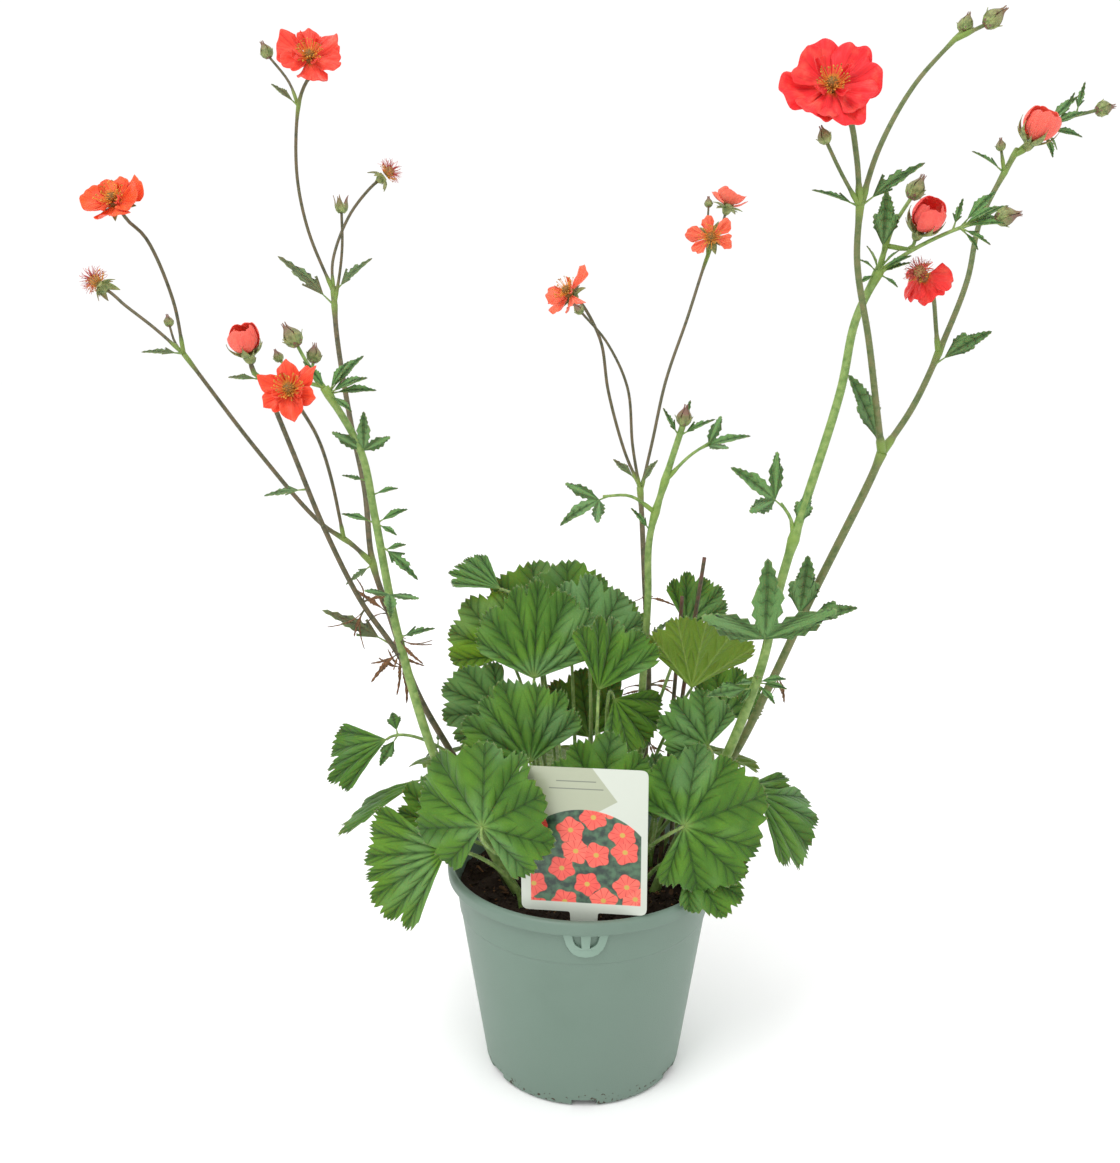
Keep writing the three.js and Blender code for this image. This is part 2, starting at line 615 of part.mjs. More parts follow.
// The leaves from the crown: the stalk's foot in the compost, where the stalk meets the blade, the blade's
// tip and the way that its upper side faces. Leaflets sit in pairs on some stalks.
const leaves = {
  centre_tall: { foot: [-14, 2], hub: [-30, -10, 252], tip: [-27, 9, 308], face: [-0.1, -1, 0.3],
    spread: 68, taper: 66, teeth: 11 },
  centre_low: { foot: [-17, -14], hub: [-32, -34, 208], tip: [-46, -24, 254], face: [0.1, -1, 0.3],
    spread: 74, taper: 100, teeth: 11 },
  front_left: { foot: [-26, -32], hub: [-58, -70, 184], tip: [-61, -64, 233], face: [-0.5, -1, 0.15],
    spread: 148, taper: 170, teeth: 15, bend: 0.04, fold: 0 },
  rim_left: { foot: [-38, -38], hub: [-81, -46, 158], tip: [-132, -42, 139], face: [0.15, -0.9, 0.6],
    spread: 52, taper: 110, teeth: 11 },
  rim_left_back: { foot: [-34, -10], hub: [-80, -15, 158], tip: [-108, -15, 184], face: [0.1, -1, 0.1],
    spread: 60, teeth: 7 },
  left_drooping: { foot: [-46, 18], hub: [-102, 15, 178], tip: [-157, 8, 152], face: [0.1, 0.1, 1],
    spread: 36, teeth: 9, leaflets: [[0.8, 15]] },
  left_pinnate: { foot: [-36, 15], hub: [-124, 17, 204], tip: [-165, 20, 186], face: [0.2, -0.7, 1],
    spread: 42, teeth: 9, leaflets: [[0.9, 21], [0.66, 10]] },
  left_upper: { foot: [-26, 18], hub: [-52, 32, 298], tip: [-80, 42, 314], face: [0.4, -0.6, 0.5],
    spread: 38, teeth: 7 },
  left_bright: { foot: [-25, 9], hub: [-47, 20, 258], tip: [-73, 30, 292], face: [0, -1, 0.3],
    spread: 75, teeth: 9 },
  back_left_tall: { foot: [-14, 26], hub: [-28, 52, 262], tip: [-34, 68, 310], face: [0, -1, 0.4],
    spread: 70, teeth: 9 },
  back_middle_tall: { foot: [-4, 19], hub: [-8, 30, 266], tip: [-11, 48, 313], face: [0, -1, 0.4],
    spread: 75, teeth: 9 },
  middle_grey: { foot: [4, 8], hub: [3, 12, 262], tip: [6, 26, 308], face: [0.2, -1, 0.4],
    spread: 70, teeth: 9 },
  back_right_tall: { foot: [8, 27], hub: [12, 56, 246], tip: [30, 70, 284], face: [0, -1, 0.5],
    spread: 70, teeth: 9 },
  middle_upright: { foot: [6, -8], hub: [8, -26, 250], tip: [20, -14, 290], face: [0.3, -1, 0.2],
    spread: 48, taper: 110, teeth: 7, fold: 0.6 },
  middle_folded: { foot: [15, 0], hub: [18, -8, 239], tip: [40, -18, 214], face: [0.5, -0.8, 0.6],
    spread: 66, taper: 110, teeth: 9, fold: 0.3 },
  middle_low: { foot: [6, -24], hub: [8, -50, 188], tip: [16, -43, 228], face: [0.1, -1, 0.3],
    spread: 78, taper: 110, teeth: 9 },
  label_right: { foot: [32, -22], hub: [42, -36, 174], tip: [44, -28, 212], face: [0.2, -1, 0.3],
    spread: 62, teeth: 7 },
  centre_behind: { foot: [-5, 9], hub: [4, 18, 205], tip: [-1, 20, 249], face: [0, -1, 0.1],
    spread: 72, teeth: 7, wave: 0.02 },
  left_dull: { foot: [-24, -3], hub: [-50, 0, 228], tip: [-86, 2, 243], face: [0, -1, 0.4],
    spread: 70, teeth: 7 },
  right_underside: { foot: [25, -6], hub: [65, -6, 245], tip: [72, -20, 296], face: [0, 1, 0.4],
    spread: 54, teeth: 9, fold: 0.2 },
  right_top: { foot: [27, 16], hub: [64, 24, 276], tip: [78, 34, 306], face: [0.1, -1, 0.4],
    spread: 52, teeth: 7 },
  right_dark: { foot: [33, -12], hub: [74, -19, 213], tip: [54, -14, 242], face: [0.3, -1, 0.3],
    spread: 80, teeth: 9, fold: 0.25 },
  right_inner: { foot: [44, 16], hub: [88, 20, 218], tip: [100, 30, 248], face: [0, -1, 0.4],
    spread: 75, teeth: 7 },
  front_right: { foot: [24, -30], hub: [56, -60, 180], tip: [105, -50, 193], face: [0.3, -1, 0.4],
    spread: 140, taper: 120, teeth: 15, bend: 0.1, fold: -0.1 },
  rim_right: { foot: [34, -30], hub: [60, -50, 153], tip: [92, -62, 138], face: [0, -0.9, 0.8],
    spread: 75, teeth: 9 },
  right_drooping: { foot: [48, -6], hub: [108, -4, 176], tip: [147, -4, 141], face: [0.6, -0.6, 0.6],
    spread: 50, teeth: 9 },
  right_behind: { foot: [50, 18], hub: [104, 22, 170], tip: [143, 28, 158], face: [0, -0.5, 1],
    spread: 38, teeth: 9, leaflets: [[0.85, 14]] },
  back_left: { foot: [-36, 26], hub: [-66, 50, 190], tip: [-110, 72, 172], face: [-0.3, 0.3, 1],
    teeth: 9 },
  back_middle: { foot: [-12, 38], hub: [-16, 70, 180], tip: [-22, 114, 152], face: [0, 0.6, 1],
    teeth: 9 },
  back_right: { foot: [44, 32], hub: [74, 58, 187], tip: [112, 88, 165], face: [0.3, 0.3, 1], teeth: 9 },
};

function stalkCurve({ foot, hub, tip, face }) {
  const ground = new THREE.Vector3(...foot, compostHeight);
  const end = vec(hub);
  const reach = ground.distanceTo(end);
  const along = vec(tip).sub(end).normalize();
  const arrival = along.multiplyScalar(0.8).addScaledVector(vec(face).normalize(), -0.6).normalize();
  const up = ground.clone().setZ(compostHeight + 0.4 * reach);
  const before = end.clone().addScaledVector(arrival, -0.25 * reach);
  return new THREE.CubicBezierCurve3(ground, up, before, end);
}

function leaf(shape) {
  const curve = stalkCurve(shape);
  const points = [0, 0.3, 0.6, 0.8, 1].map((share) => curve.getPoint(share).toArray());
  const stalkShoot = shoot([footOf(shape.foot, points[1]).buried, ...points], stalkRadius, 1, 4);
  const pieces = [stalkShoot.body, leafBlade(shape)];
  for (const [share, length] of shape.leaflets ?? []) {
    const foot = vec(rootedOn([stalkShoot], curve.getPoint(share).toArray()));
    const along = curve.getTangent(share);
    const side = vec(shape.face).cross(along).normalize();
    for (const way of [1, -1]) {
      const tip = foot.clone().addScaledVector(side, way * length).addScaledVector(along, 0.4 * length);
      pieces.push(bract([length > 10 ? 'leaflet' : 'three', foot.toArray(), tip.toArray()]));
    }
  }
  return joined(pieces);
}

// The pot: turned wall, lip and shoulder band, with notches in its foot and a label loop at the front.
const turnedSides = 28;

function turned(profile) {
  const geometry = new THREE.LatheGeometry(profile.map(([r, z]) => new THREE.Vector2(r, z)), turnedSides);
  geometry.rotateX(Math.PI / 2);
  return geometry;
}

function labelLoop() {
  const shield = new THREE.Shape();
  shield.moveTo(-12.5, 0.5);
  shield.lineTo(-10.5, -7);
  shield.quadraticCurveTo(-7, -15, 0, -15);
  shield.quadraticCurveTo(7, -15, 10.5, -7);
  shield.lineTo(12.5, 0.5);
  shield.closePath();
  for (const side of [-1, 1]) {
    const slot = new THREE.Path();
    slot.moveTo(side * 3, -1);
    slot.lineTo(side * 7.5, -1);
    slot.quadraticCurveTo(side * 6, -7, side * 2.2, -9);
    slot.closePath();
    shield.holes.push(slot);
  }
  const plate = new THREE.ExtrudeGeometry(shield, { depth: 4.2, bevelEnabled: false, curveSegments: 3 });
  plate.rotateX(Math.PI / 2);
  const lean = Math.atan2(shoulderRadius - bodyTopRadius, bandHeight);
  plate.rotateX(-lean);
  plate.translate(0, -(shoulderRadius - 2.6), potHeight - lipHeight);
  return solid(plate);
}

function pot() {
  const inner = footRadius - wallThickness;
  const bandFoot = potHeight - lipHeight - bandHeight;
  const lipFoot = potHeight - lipHeight;
  const profile = [[0, 0], [footRadius - 2, 0], [footRadius, 2], [bodyTopRadius, bandFoot],
    [bodyTopRadius + 0.7, bandFoot + 1], [shoulderRadius, lipFoot], [rimRadius, lipFoot],
    [rimRadius, potHeight - 1.5], [rimRadius - 1.5, potHeight], [mouthRadius, potHeight],
    [shoulderRadius - wallThickness, lipFoot - 1], [inner, floorThickness], [0, floorThickness]];
  let body = solid(turned(profile)).add(labelLoop());
  for (let i = 0; i < footNotches; i += 1) {
    const notch = new THREE.BoxGeometry(notchWidth, 14, 2 * notchHeight);
    notch.translate(0, -footRadius, 0);
    notch.rotateZ((2 * Math.PI * i) / footNotches);
    body = body.subtract(solid(notch));
  }
  return body;
}

// The compost: it fills the pot to its floor, with an uneven top and a plain hole for every stem and stalk.
function compost() {
  const edge = shoulderRadius - wallThickness - 1.4;
  const profile = [[0, floorThickness + gap], [footRadius - wallThickness - gap, floorThickness + gap],
    [edge, compostHeight - 1], [54, compostHeight], [0, compostHeight]];
  const geometry = turned(profile);
  const position = geometry.attributes.position;
  for (let i = 0; i < position.count; i += 1) {
    const [x, y, z] = [position.getX(i), position.getY(i), position.getZ(i)];
    const bumps = Math.sin(0.13 * x + 1) * Math.cos(0.17 * y) + 0.6 * Math.sin(0.31 * x - 0.27 * y);
    if (z === compostHeight) position.setZ(i, z + compostRoughness * bumps);
  }
  let body = solid(geometry);
  const holes = [
    ...Object.values(leaves).map((shape) => [shape.foot, stalkCurve(shape).getPoint(0.3), stalkRadius, 4]),
    ...Object.values(stems).map(({ foot, main, radii }) => [foot, vec(main[0]), radii[0], 6]),
  ];
  for (const [foot, next, radius, holeSides] of holes) {
    const { ground, way } = footOf(foot, next.toArray());
    const across = (radius + 2 * gap) / Math.cos(Math.PI / holeSides);
    const hole = new THREE.CylinderGeometry(across, across, 2 * footDepth + 2, holeSides);
    hole.applyQuaternion(new THREE.Quaternion().setFromUnitVectors(new THREE.Vector3(0, 1, 0), way));
    hole.translate(...ground.toArray());
    body = body.subtract(solid(hole));
  }
  return body.subtract(labelCard(2 * gap));
}

// The label: a card on a pointed stake, turned and leaning a little towards the front.
function labelCard(clearance) {
  const half = cardWidth / 2;
  const corner = 4;
  const outline = new THREE.Shape();
  outline.moveTo(-half + corner, 0);
  outline.quadraticCurveTo(-half, 0, -half, corner);
  outline.lineTo(-half, cardHeight - corner);
  outline.quadraticCurveTo(-half, cardHeight, -half + corner, cardHeight);
  outline.lineTo(half - corner, cardHeight);
  outline.quadraticCurveTo(half, cardHeight, half, cardHeight - corner);
  outline.lineTo(half, corner);
  outline.quadraticCurveTo(half, 0, half - corner, 0);
  outline.lineTo(8 + clearance, 0);
  outline.lineTo(6 + clearance, -40);
  outline.lineTo(0, -52 - clearance);
  outline.lineTo(-6 - clearance, -40);
  outline.lineTo(-8 - clearance, 0);
  const depth = cardThickness + 2 * clearance;
  const card = new THREE.ExtrudeGeometry(outline, { depth, bevelEnabled: false, curveSegments: 3 });
  card.translate(0, 0, -depth / 2);
  card.rotateX(Math.PI / 2);
  card.rotateX(radians(4));
  card.rotateZ(radians(-7));
  card.translate(-1, -73, potHeight + 0.8);
  return solid(card);
}

const leafGreen = 0x4a8a34;
const stemGreen = 0x86a058;
const stemBrown = 0x6e6440;
const petalScarlet = 0xf04a32;
const petalOrange = 0xf0642f;
const stamenGold = 0xd09a3c;
const styleRed = 0xa4453a;
const greenStems = ['left_front', 'centre_green', 'right_front'];
const stamenFlowers = ['left_top', 'left_far', 'left_front', 'centre_left', 'centre_low', 'right_big'];

add('pot', pot(), 0x839c8b, 0.45);
add('compost', compost(), 0x2b211b, 0.95);
add('label', labelCard(0), 0xe6e6d6, 0.4);
for (const [name, shape] of Object.entries(leaves)) add(`leaf_${name}`, leaf(shape), leafGreen, 0.6);
for (const [name, shape] of Object.entries(stems)) {
  add(`stem_${name}`, stem(shape), greenStems.includes(name) ? stemGreen : stemBrown, 0.6);
}
for (const [name, flower] of Object.entries(flowers)) {
  add(`bloom_${name}`, petals(flower), name.startsWith('left') ? petalOrange : petalScarlet, 0.55);
}
for (const name of stamenFlowers) add(`centre_${name}`, flowerCentre(flowers[name]), stamenGold, 0.7);
for (const [name, head] of Object.entries(seedHeads)) {
  add(`seed_head_${name}`, seedHead(head, 0), styleRed, 0.7);
}
add('seed_head_right', seedHead(flowers.right_fading, discHeight), styleRed, 0.7);

export default root;
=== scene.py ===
# A scarlet geum in flower in its nursery pot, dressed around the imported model. Metres, +Z up.
import math

import bpy
import numpy as np
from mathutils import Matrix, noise


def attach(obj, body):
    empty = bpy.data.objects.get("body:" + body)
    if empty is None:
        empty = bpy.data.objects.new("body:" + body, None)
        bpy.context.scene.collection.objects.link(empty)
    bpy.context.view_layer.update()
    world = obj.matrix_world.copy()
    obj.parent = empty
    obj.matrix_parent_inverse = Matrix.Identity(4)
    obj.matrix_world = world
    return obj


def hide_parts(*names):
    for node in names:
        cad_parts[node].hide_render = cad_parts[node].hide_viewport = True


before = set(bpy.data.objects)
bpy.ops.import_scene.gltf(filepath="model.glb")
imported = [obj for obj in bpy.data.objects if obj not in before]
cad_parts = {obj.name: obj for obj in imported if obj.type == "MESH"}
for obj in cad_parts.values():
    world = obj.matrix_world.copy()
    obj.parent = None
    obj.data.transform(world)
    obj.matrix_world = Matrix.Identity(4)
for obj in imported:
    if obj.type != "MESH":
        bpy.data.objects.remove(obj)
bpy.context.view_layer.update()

# The camera stands where the photograph was taken from: a little above the leaves, looking 12 degrees down.
# Its lens gives the photograph's focal length, which is measured in pixels of its height.
photo_height = 1163
focal_length = 1123
camera_place = (-0.0145, -0.656, 0.449)
camera_pitch = 12

lens = bpy.data.cameras.new("camera")
lens.lens = lens.sensor_width * focal_length / photo_height
camera = bpy.data.objects.new("camera", lens)
camera.location = camera_place
camera.rotation_euler = (math.radians(90 - camera_pitch), 0, 0)
bpy.context.scene.collection.objects.link(camera)
bpy.context.scene.camera = camera


# The pot is moulded in one shot from sage-green polypropylene: a thin wall with a deep lip, a shoulder band
# under it, a loop for a label at the front and drainage notches round the foot. Its skin is satin, with a
# few splashes of soil.
mm = 0.001
pot_height = 133
rim_radius = 85
mouth_radius = 81
shoulder_radius = 80
body_top_radius = 77
foot_radius = 62
lip_height = 8
band_height = 22
wall_thickness = 1.8
floor_thickness = 3
foot_notches = 6
notch_width = 15
notch_height = 5
notch_depth = 7
pot_sides = 192


def paint(red, green, blue):
    """A colour as a shader takes it, from its screen values of 0 to 255."""
    return (*[(value / 255) ** 2.2 for value in (red, green, blue)], 1)


class Value:
    """A socket of a material's nodes. Arithmetic on it adds Math nodes, and node() adds any other node."""

    def __init__(self, socket):
        self.socket = socket

    def node(self, kind, settings, sockets, output=0):
        made = self.socket.id_data.nodes.new(kind)
        for name, setting in settings.items():
            setattr(made, name, setting)
        for name, value in sockets.items():
            if isinstance(value, Value):
                self.socket.id_data.links.new(value.socket, made.inputs[name])
            else:
                made.inputs[name].default_value = value
        return Value(made.outputs[output])

    def maths(self, operation, *values):
        return self.node("ShaderNodeMath", {"operation": operation}, dict(enumerate(values)))

    def __add__(self, other):
        return self.maths("ADD", self, other)

    def __sub__(self, other):
        return self.maths("SUBTRACT", self, other)

    def __rsub__(self, other):
        return self.maths("SUBTRACT", other, self)

    def __mul__(self, other):
        return self.maths("MULTIPLY", self, other)

    def __abs__(self):
        return self.maths("ABSOLUTE", self)

    __radd__ = __add__
    __rmul__ = __mul__

    def step(self, low, high):
        """Runs smoothly from 0 at low to 1 at high."""
        ends = {"Value": self, "From Min": low, "From Max": high}
        return self.node("ShaderNodeMapRange", {"interpolation_type": "SMOOTHSTEP"}, ends)

    def blend(self, low, high):
        """The colour that is low where this mask is 0 and high where it is 1."""
        return self.node("ShaderNodeMix", {"data_type": "RGBA"}, {0: self, 6: low, 7: high}, 2)

    def parts(self):
        """The three numbers of a vector."""
        return [self.node("ShaderNodeSeparateXYZ", {}, {0: self}, axis) for axis in range(3)]

    def noise(self, scale, detail=3.0):
        return self.node("ShaderNodeTexNoise", {}, {"Vector": self, "Scale": scale, "Detail": detail})

    def relief(self, depth):
        """The normal of a skin on which this height stands up by a depth in metres."""
        return self.node("ShaderNodeBump", {}, {"Height": self, "Distance": depth})

    def read(self, name):
        """The three numbers that the piece's mesh carries at each point under a name."""
        source = self.node("ShaderNodeAttribute", {"attribute_name": name}, {}, "Vector")
        return source.parts()


def finish(name, roughness, **constants):
    """A new material, its shader's sockets and the place on the skin that its maths starts from."""
    material = bpy.data.materials.new(name)
    material.use_nodes = True
    shader = material.node_tree.nodes["Principled BSDF"]
    shader.inputs["Roughness"].default_value = roughness
    for socket, value in constants.items():
        shader.inputs[socket.replace("_", " ")].default_value = value
    place = material.node_tree.nodes.new("ShaderNodeTexCoord")
    return material, shader.inputs, Value(place.outputs["Object"])


def wire(inputs, **values):
    """Links shader values to a shader's sockets."""
    for name, value in values.items():
        socket = inputs[name.replace("_", " ")]
        socket.id_data.links.new(value.socket, socket)


class Form:
    """What a piece is built up from: points in millimetres, faces with their finishes, and two sets of three
    numbers at each point, mark and tone, that its finishes read."""

    def __init__(self):
        self.points, self.marks, self.tones, self.faces, self.finishes = [], [], [], [], []
        self.count = 0

    def add(self, points, faces, mark=(0, 0, 0), tone=(0, 0, 0), finish=0):
        for group in faces:
            self.faces.extend((np.asarray(group) + self.count).tolist())
            self.finishes.append(np.full(len(group), finish))
        self.points.append(points)
        self.marks.append(np.broadcast_to(mark, points.shape))
        self.tones.append(np.broadcast_to(tone, points.shape))
        self.count += len(points)


def piece(name, form, finishes, slot, *nodes, crease=180):
    """Makes the form a piece that stands for CAD nodes. Edges past the crease angle stay sharp."""
    mesh = bpy.data.meshes.new(name)
    mesh.from_pydata((np.concatenate(form.points) * mm).tolist(), [], form.faces)
    for material in finishes:
        mesh.materials.append(material)
    mesh.polygons.foreach_set("material_index", np.concatenate(form.finishes).astype(np.int32))
    for label, values in (("mark", form.marks), ("tone", form.tones)):
        attribute = mesh.attributes.new(label, "FLOAT_VECTOR", "POINT")
        attribute.data.foreach_set("vector", np.concatenate(values).astype(np.float32).ravel())
    mesh.shade_smooth()
    mesh.set_sharp_from_angle(angle=math.radians(crease))
    made = bpy.data.objects.new(name, mesh)
    bpy.context.scene.collection.objects.link(made)
    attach(made, "root")
    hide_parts(*nodes)
    return made


def rounded(corners, steps=5):
    """An outline through corners, each given as its two coordinates and how far back its rounding starts."""
    outline = []
    for i, (x, y, size) in enumerate(corners):
        corner = np.array([x, y], float)
        before, after = (np.array(corners[k][:2]) - corner for k in (i - 1, (i + 1) % len(corners)))
        if not size:
            outline.append(corner)
            continue
        start = corner + before * size / np.linalg.norm(before)
        end = corner + after * size / np.linalg.norm(after)
        for share in np.linspace(0, 1, steps):
            outline.append((1 - share) ** 2 * start + 2 * share * (1 - share) * corner + share ** 2 * end)
    return np.array(outline)


def ring_faces(rings, sides):
    """The faces of a closed body of rings. Its points count ring by ring, then its first end and its last."""
    here = np.arange(sides)
    after = np.roll(here, -1)
    wall = [np.stack([here, after, after + sides, here + sides], 1) + ring * sides
            for ring in range(rings - 1)]
    last = (rings - 1) * sides
    first_end, last_end = np.full(sides, rings * sides), np.full(sides, rings * sides + 1)
    return [np.concatenate(wall), np.stack([first_end, after, here], 1),
            np.stack([last_end, here + last, after + last], 1)]


def turned(profile, sides):
    """The points and faces of a closed turned body. Its profile of radius and height runs up the outside
    from a point on the axis to another."""
    turn = np.linspace(0, 2 * np.pi, sides, endpoint=False)
    rings = profile[1:-1]
    x, y = np.outer(rings[:, 0], np.cos(turn)), np.outer(rings[:, 0], np.sin(turn))
    z = np.broadcast_to(rings[:, 1:2], x.shape)
    ends = [[0, 0, profile[0, 1]], [0, 0, profile[-1, 1]]]
    points = np.concatenate([np.stack([x, y, z], -1).reshape(-1, 3), ends])
    return points, ring_faces(len(rings), sides)


band_foot = pot_height - lip_height - band_height
lip_foot = pot_height - lip_height
pot_profile = rounded([
    (0, 0, 0), (foot_radius - 5, 0, 1), (foot_radius - 4, 0.8, 0.5), (foot_radius - 2, 0, 1),
    (foot_radius, 2, 1.5), (body_top_radius, band_foot, 1), (body_top_radius + 0.7, band_foot + 1, 0.6),
    (shoulder_radius, lip_foot, 0.8), (rim_radius - 0.4, lip_foot, 0.8), (rim_radius, pot_height - 2, 1.2),
    (rim_radius - 1.5, pot_height, 1.3), (mouth_radius, pot_height, 1.2),
    (mouth_radius - 0.5, pot_height - 3, 1), (shoulder_radius - wall_thickness, lip_foot - 1, 1.5),
    (foot_radius - wall_thickness, floor_thickness, 2), (0, floor_thickness, 0)])
pot_form = Form()
pot_form.add(*turned(pot_profile, pot_sides))

cube = [(a, b, c) for a in (-1, 1) for b in (-1, 1) for c in (-1, 1)]
cube_faces = [[0, 1, 3, 2], [4, 6, 7, 5], [0, 4, 5, 1], [2, 3, 7, 6], [0, 2, 6, 4], [1, 5, 7, 3]]
notch_form = Form()
for i in range(foot_notches):
    turn = 2 * np.pi * i / foot_notches - np.pi / 2
    out, side = np.array([np.cos(turn), np.sin(turn), 0]), np.array([-np.sin(turn), np.cos(turn), 0])
    corners = [(foot_radius + a * notch_depth) * out + b * notch_width / 2 * side + [0, 0, c * notch_height]
               for a, b, c in cube]
    notch_form.add(np.array(corners), [cube_faces])

# The label loop is a small shield under the lip with two slots, so that a stake can pass behind its tongue.
loop = bpy.data.curves.new("label_loop", "CURVE")
loop.dimensions = "2D"
loop.fill_mode = "BOTH"
loop.extrude = 0.7
loop.bevel_depth = 0.35
loop.bevel_resolution = 2
shield = rounded([(-13, 0.5, 0.3), (-11, -7, 4), (-8, -15.5, 8), (8, -15.5, 8), (11, -7, 4), (13, 0.5, 0.3)])
slots = [rounded([(side * 2.6, -1.2, 0.5), (side * 8.2, -1.2, 0.8), (side * 6.6, -7.5, 2),
                  (side * 2, -10.4, 0.8)]) for side in (-1, 1)]
for outline in (shield, *slots):
    spline = loop.splines.new("POLY")
    spline.points.add(len(outline) - 1)
    for point, (x, y) in zip(spline.points, outline):
        point.co = (x, y, 0, 1)
    spline.use_cyclic_u = True
loop_object = bpy.data.objects.new("label_loop", loop)
bpy.context.scene.collection.objects.link(loop_object)
loop_mesh = bpy.data.meshes.new_from_object(loop_object.evaluated_get(bpy.context.evaluated_depsgraph_get()))
lean = math.atan2(shoulder_radius - body_top_radius, band_height)
flat = np.clip([vertex.co for vertex in loop_mesh.vertices], (-13.4, -16.2, -1.1), (13.4, 0.9, 1.1))
bulge = flat[:, 0] ** 2 / (2 * shoulder_radius)
loop_points = np.stack([flat[:, 0], bulge - shoulder_radius - 0.9 - flat[:, 1] * math.sin(lean) - flat[:, 2],
                        lip_foot - 0.2 + flat[:, 1] * math.cos(lean)], -1)
loop_faces = [list(face.vertices) for face in loop_mesh.polygons]
loop_form = Form()
loop_form.add(loop_points, [[face for face in loop_faces if len(face) == corners] for corners in (3, 4)])
bpy.data.objects.remove(loop_object)

pot_finish, inputs, place = finish("sage_plastic", 0.42, Specular_IOR_Level=0.45)
x, y, z = place.parts()
mottle = place.noise(35)
haze = place.noise(9)
soil = (place.noise(420, 2) * (1 - 0.7 * z.step(0.0, 0.03)) + place.noise(60) * 0.35).step(0.74, 0.8)
green = mottle.blend(paint(98, 119, 106), paint(108, 130, 117))
green = haze.step(0.35, 0.75).blend(green, paint(104, 124, 112))
wire(inputs, Base_Color=soil.blend(green, paint(62, 50, 38)), Roughness=0.36 + 0.16 * mottle + 0.3 * soil,
     Normal=(place.noise(1800, 1) + soil).relief(0.00012))

pot = piece("moulded_pot", pot_form, [pot_finish], "pot", "pot", crease=50)
notches = bpy.data.objects.new("notches", bpy.data.meshes.new("notches"))
notches.data.from_pydata((np.concatenate(notch_form.points) * mm).tolist(), [], notch_form.faces)
bpy.context.scene.collection.objects.link(notches)
cut = pot.modifiers.new("notches", "BOOLEAN")
cut.object = notches
cut.solver = "EXACT"
pot.data = bpy.data.meshes.new_from_object(pot.evaluated_get(bpy.context.evaluated_depsgraph_get()))
pot.modifiers.clear()
bpy.data.objects.remove(notches)

loop_finish, inputs, place = finish("sage_plastic_light", 0.4, Specular_IOR_Level=0.45)
mottle = place.noise(60)
wire(inputs, Base_Color=mottle.blend(paint(116, 142, 126), paint(130, 154, 140)),
     Roughness=0.34 + 0.14 * mottle)
piece("label_loop", loop_form, [loop_finish], "pot", "pot", crease=50)


# The compost is dark peat with composted bark. It fills the pot to its floor. Its top is loose, with
# crumbs and chips of bark lying on it.
compost_height = 118
compost_roughness = 2.2
compost_sides = 150
compost_rings = 60
bark_chips = 620
crumbs = 1500
gap = 0.3


def compost_top(x, y):
    """The height of the compost, in millimetres."""
    swell = math.sin(0.13 * x + 1) * math.cos(0.17 * y) + 0.6 * math.sin(0.31 * x - 0.27 * y)
    fine = noise.fractal((0.16 * x, 0.16 * y, 3), 0.7, 2.2, 5)
    return compost_height + compost_roughness * swell + 1.9 * fine


def spun(count, sizes, corners, random):
    """Copies of a lump's corners, each scaled to its own sizes, jittered and turned any way round."""
    lumps = corners * sizes[:, None, :] * random.uniform(0.6, 1.15, (count, len(corners), 3))
    quaternion = random.normal(size=(count, 4))
    w, x, y, z = (quaternion / np.linalg.norm(quaternion, axis=1, keepdims=True)).T
    turns = np.array([[1 - 2 * (y * y + z * z), 2 * (x * y - z * w), 2 * (x * z + y * w)],
                      [2 * (x * y + z * w), 1 - 2 * (x * x + z * z), 2 * (y * z - x * w)],
                      [2 * (x * z - y * w), 2 * (y * z + x * w), 1 - 2 * (x * x + y * y)]])
    return np.einsum("ijk,kpj->kpi", turns, lumps)


def repeated(faces, count, corners):
    """The faces of one lump, repeated for each of its copies."""
    return (np.asarray(faces)[None] + corners * np.arange(count)[:, None, None]).reshape(-1, len(faces[0]))


random = np.random.default_rng(5)
compost_edge = shoulder_radius - wall_thickness - 1.2
edges = np.linspace(0, 1, compost_rings + 1)[1:] * compost_edge
compost_foot = floor_thickness + gap
compost_profile = np.array([(0, compost_foot), (foot_radius - wall_thickness - gap, compost_foot),
                            *[(radius, compost_height) for radius in edges[::-1]], (0, compost_height)])
points, faces = turned(compost_profile, compost_sides)
for point in points:
    if point[2] == compost_height:
        point[2] = compost_top(point[0], point[1])
compost_form = Form()
compost_form.add(points, faces, tone=(0.2, 0, 0))
lump = np.array(cube) / 2
for count, low, high in ((bark_chips, (2, 1, 0.5), (9, 3.4, 1.6)),
                         (crumbs, (0.6, 0.5, 0.4), (2.2, 1.8, 1.4))):
    radius = (compost_edge - 3) * np.sqrt(random.uniform(0, 1, count))
    turn = random.uniform(0, 2 * np.pi, count)
    sizes = random.uniform(low, high, (count, 3))
    ground = [(r * math.cos(t), r * math.sin(t)) for r, t in zip(radius, turn)]
    seats = np.array([(x, y, compost_top(x, y) + 0.3) for x, y in ground])
    lumps = spun(count, sizes, lump, random) * (1, 1, 0.6) + seats[:, None, :]
    shade = np.repeat(random.uniform(0, 1, count), 8)
    tone = np.stack([shade, np.repeat(random.uniform(0, 1, count), 8), 0 * shade], -1)
    compost_form.add(lumps.reshape(-1, 3), [repeated(cube_faces, count, 8)], tone=tone)

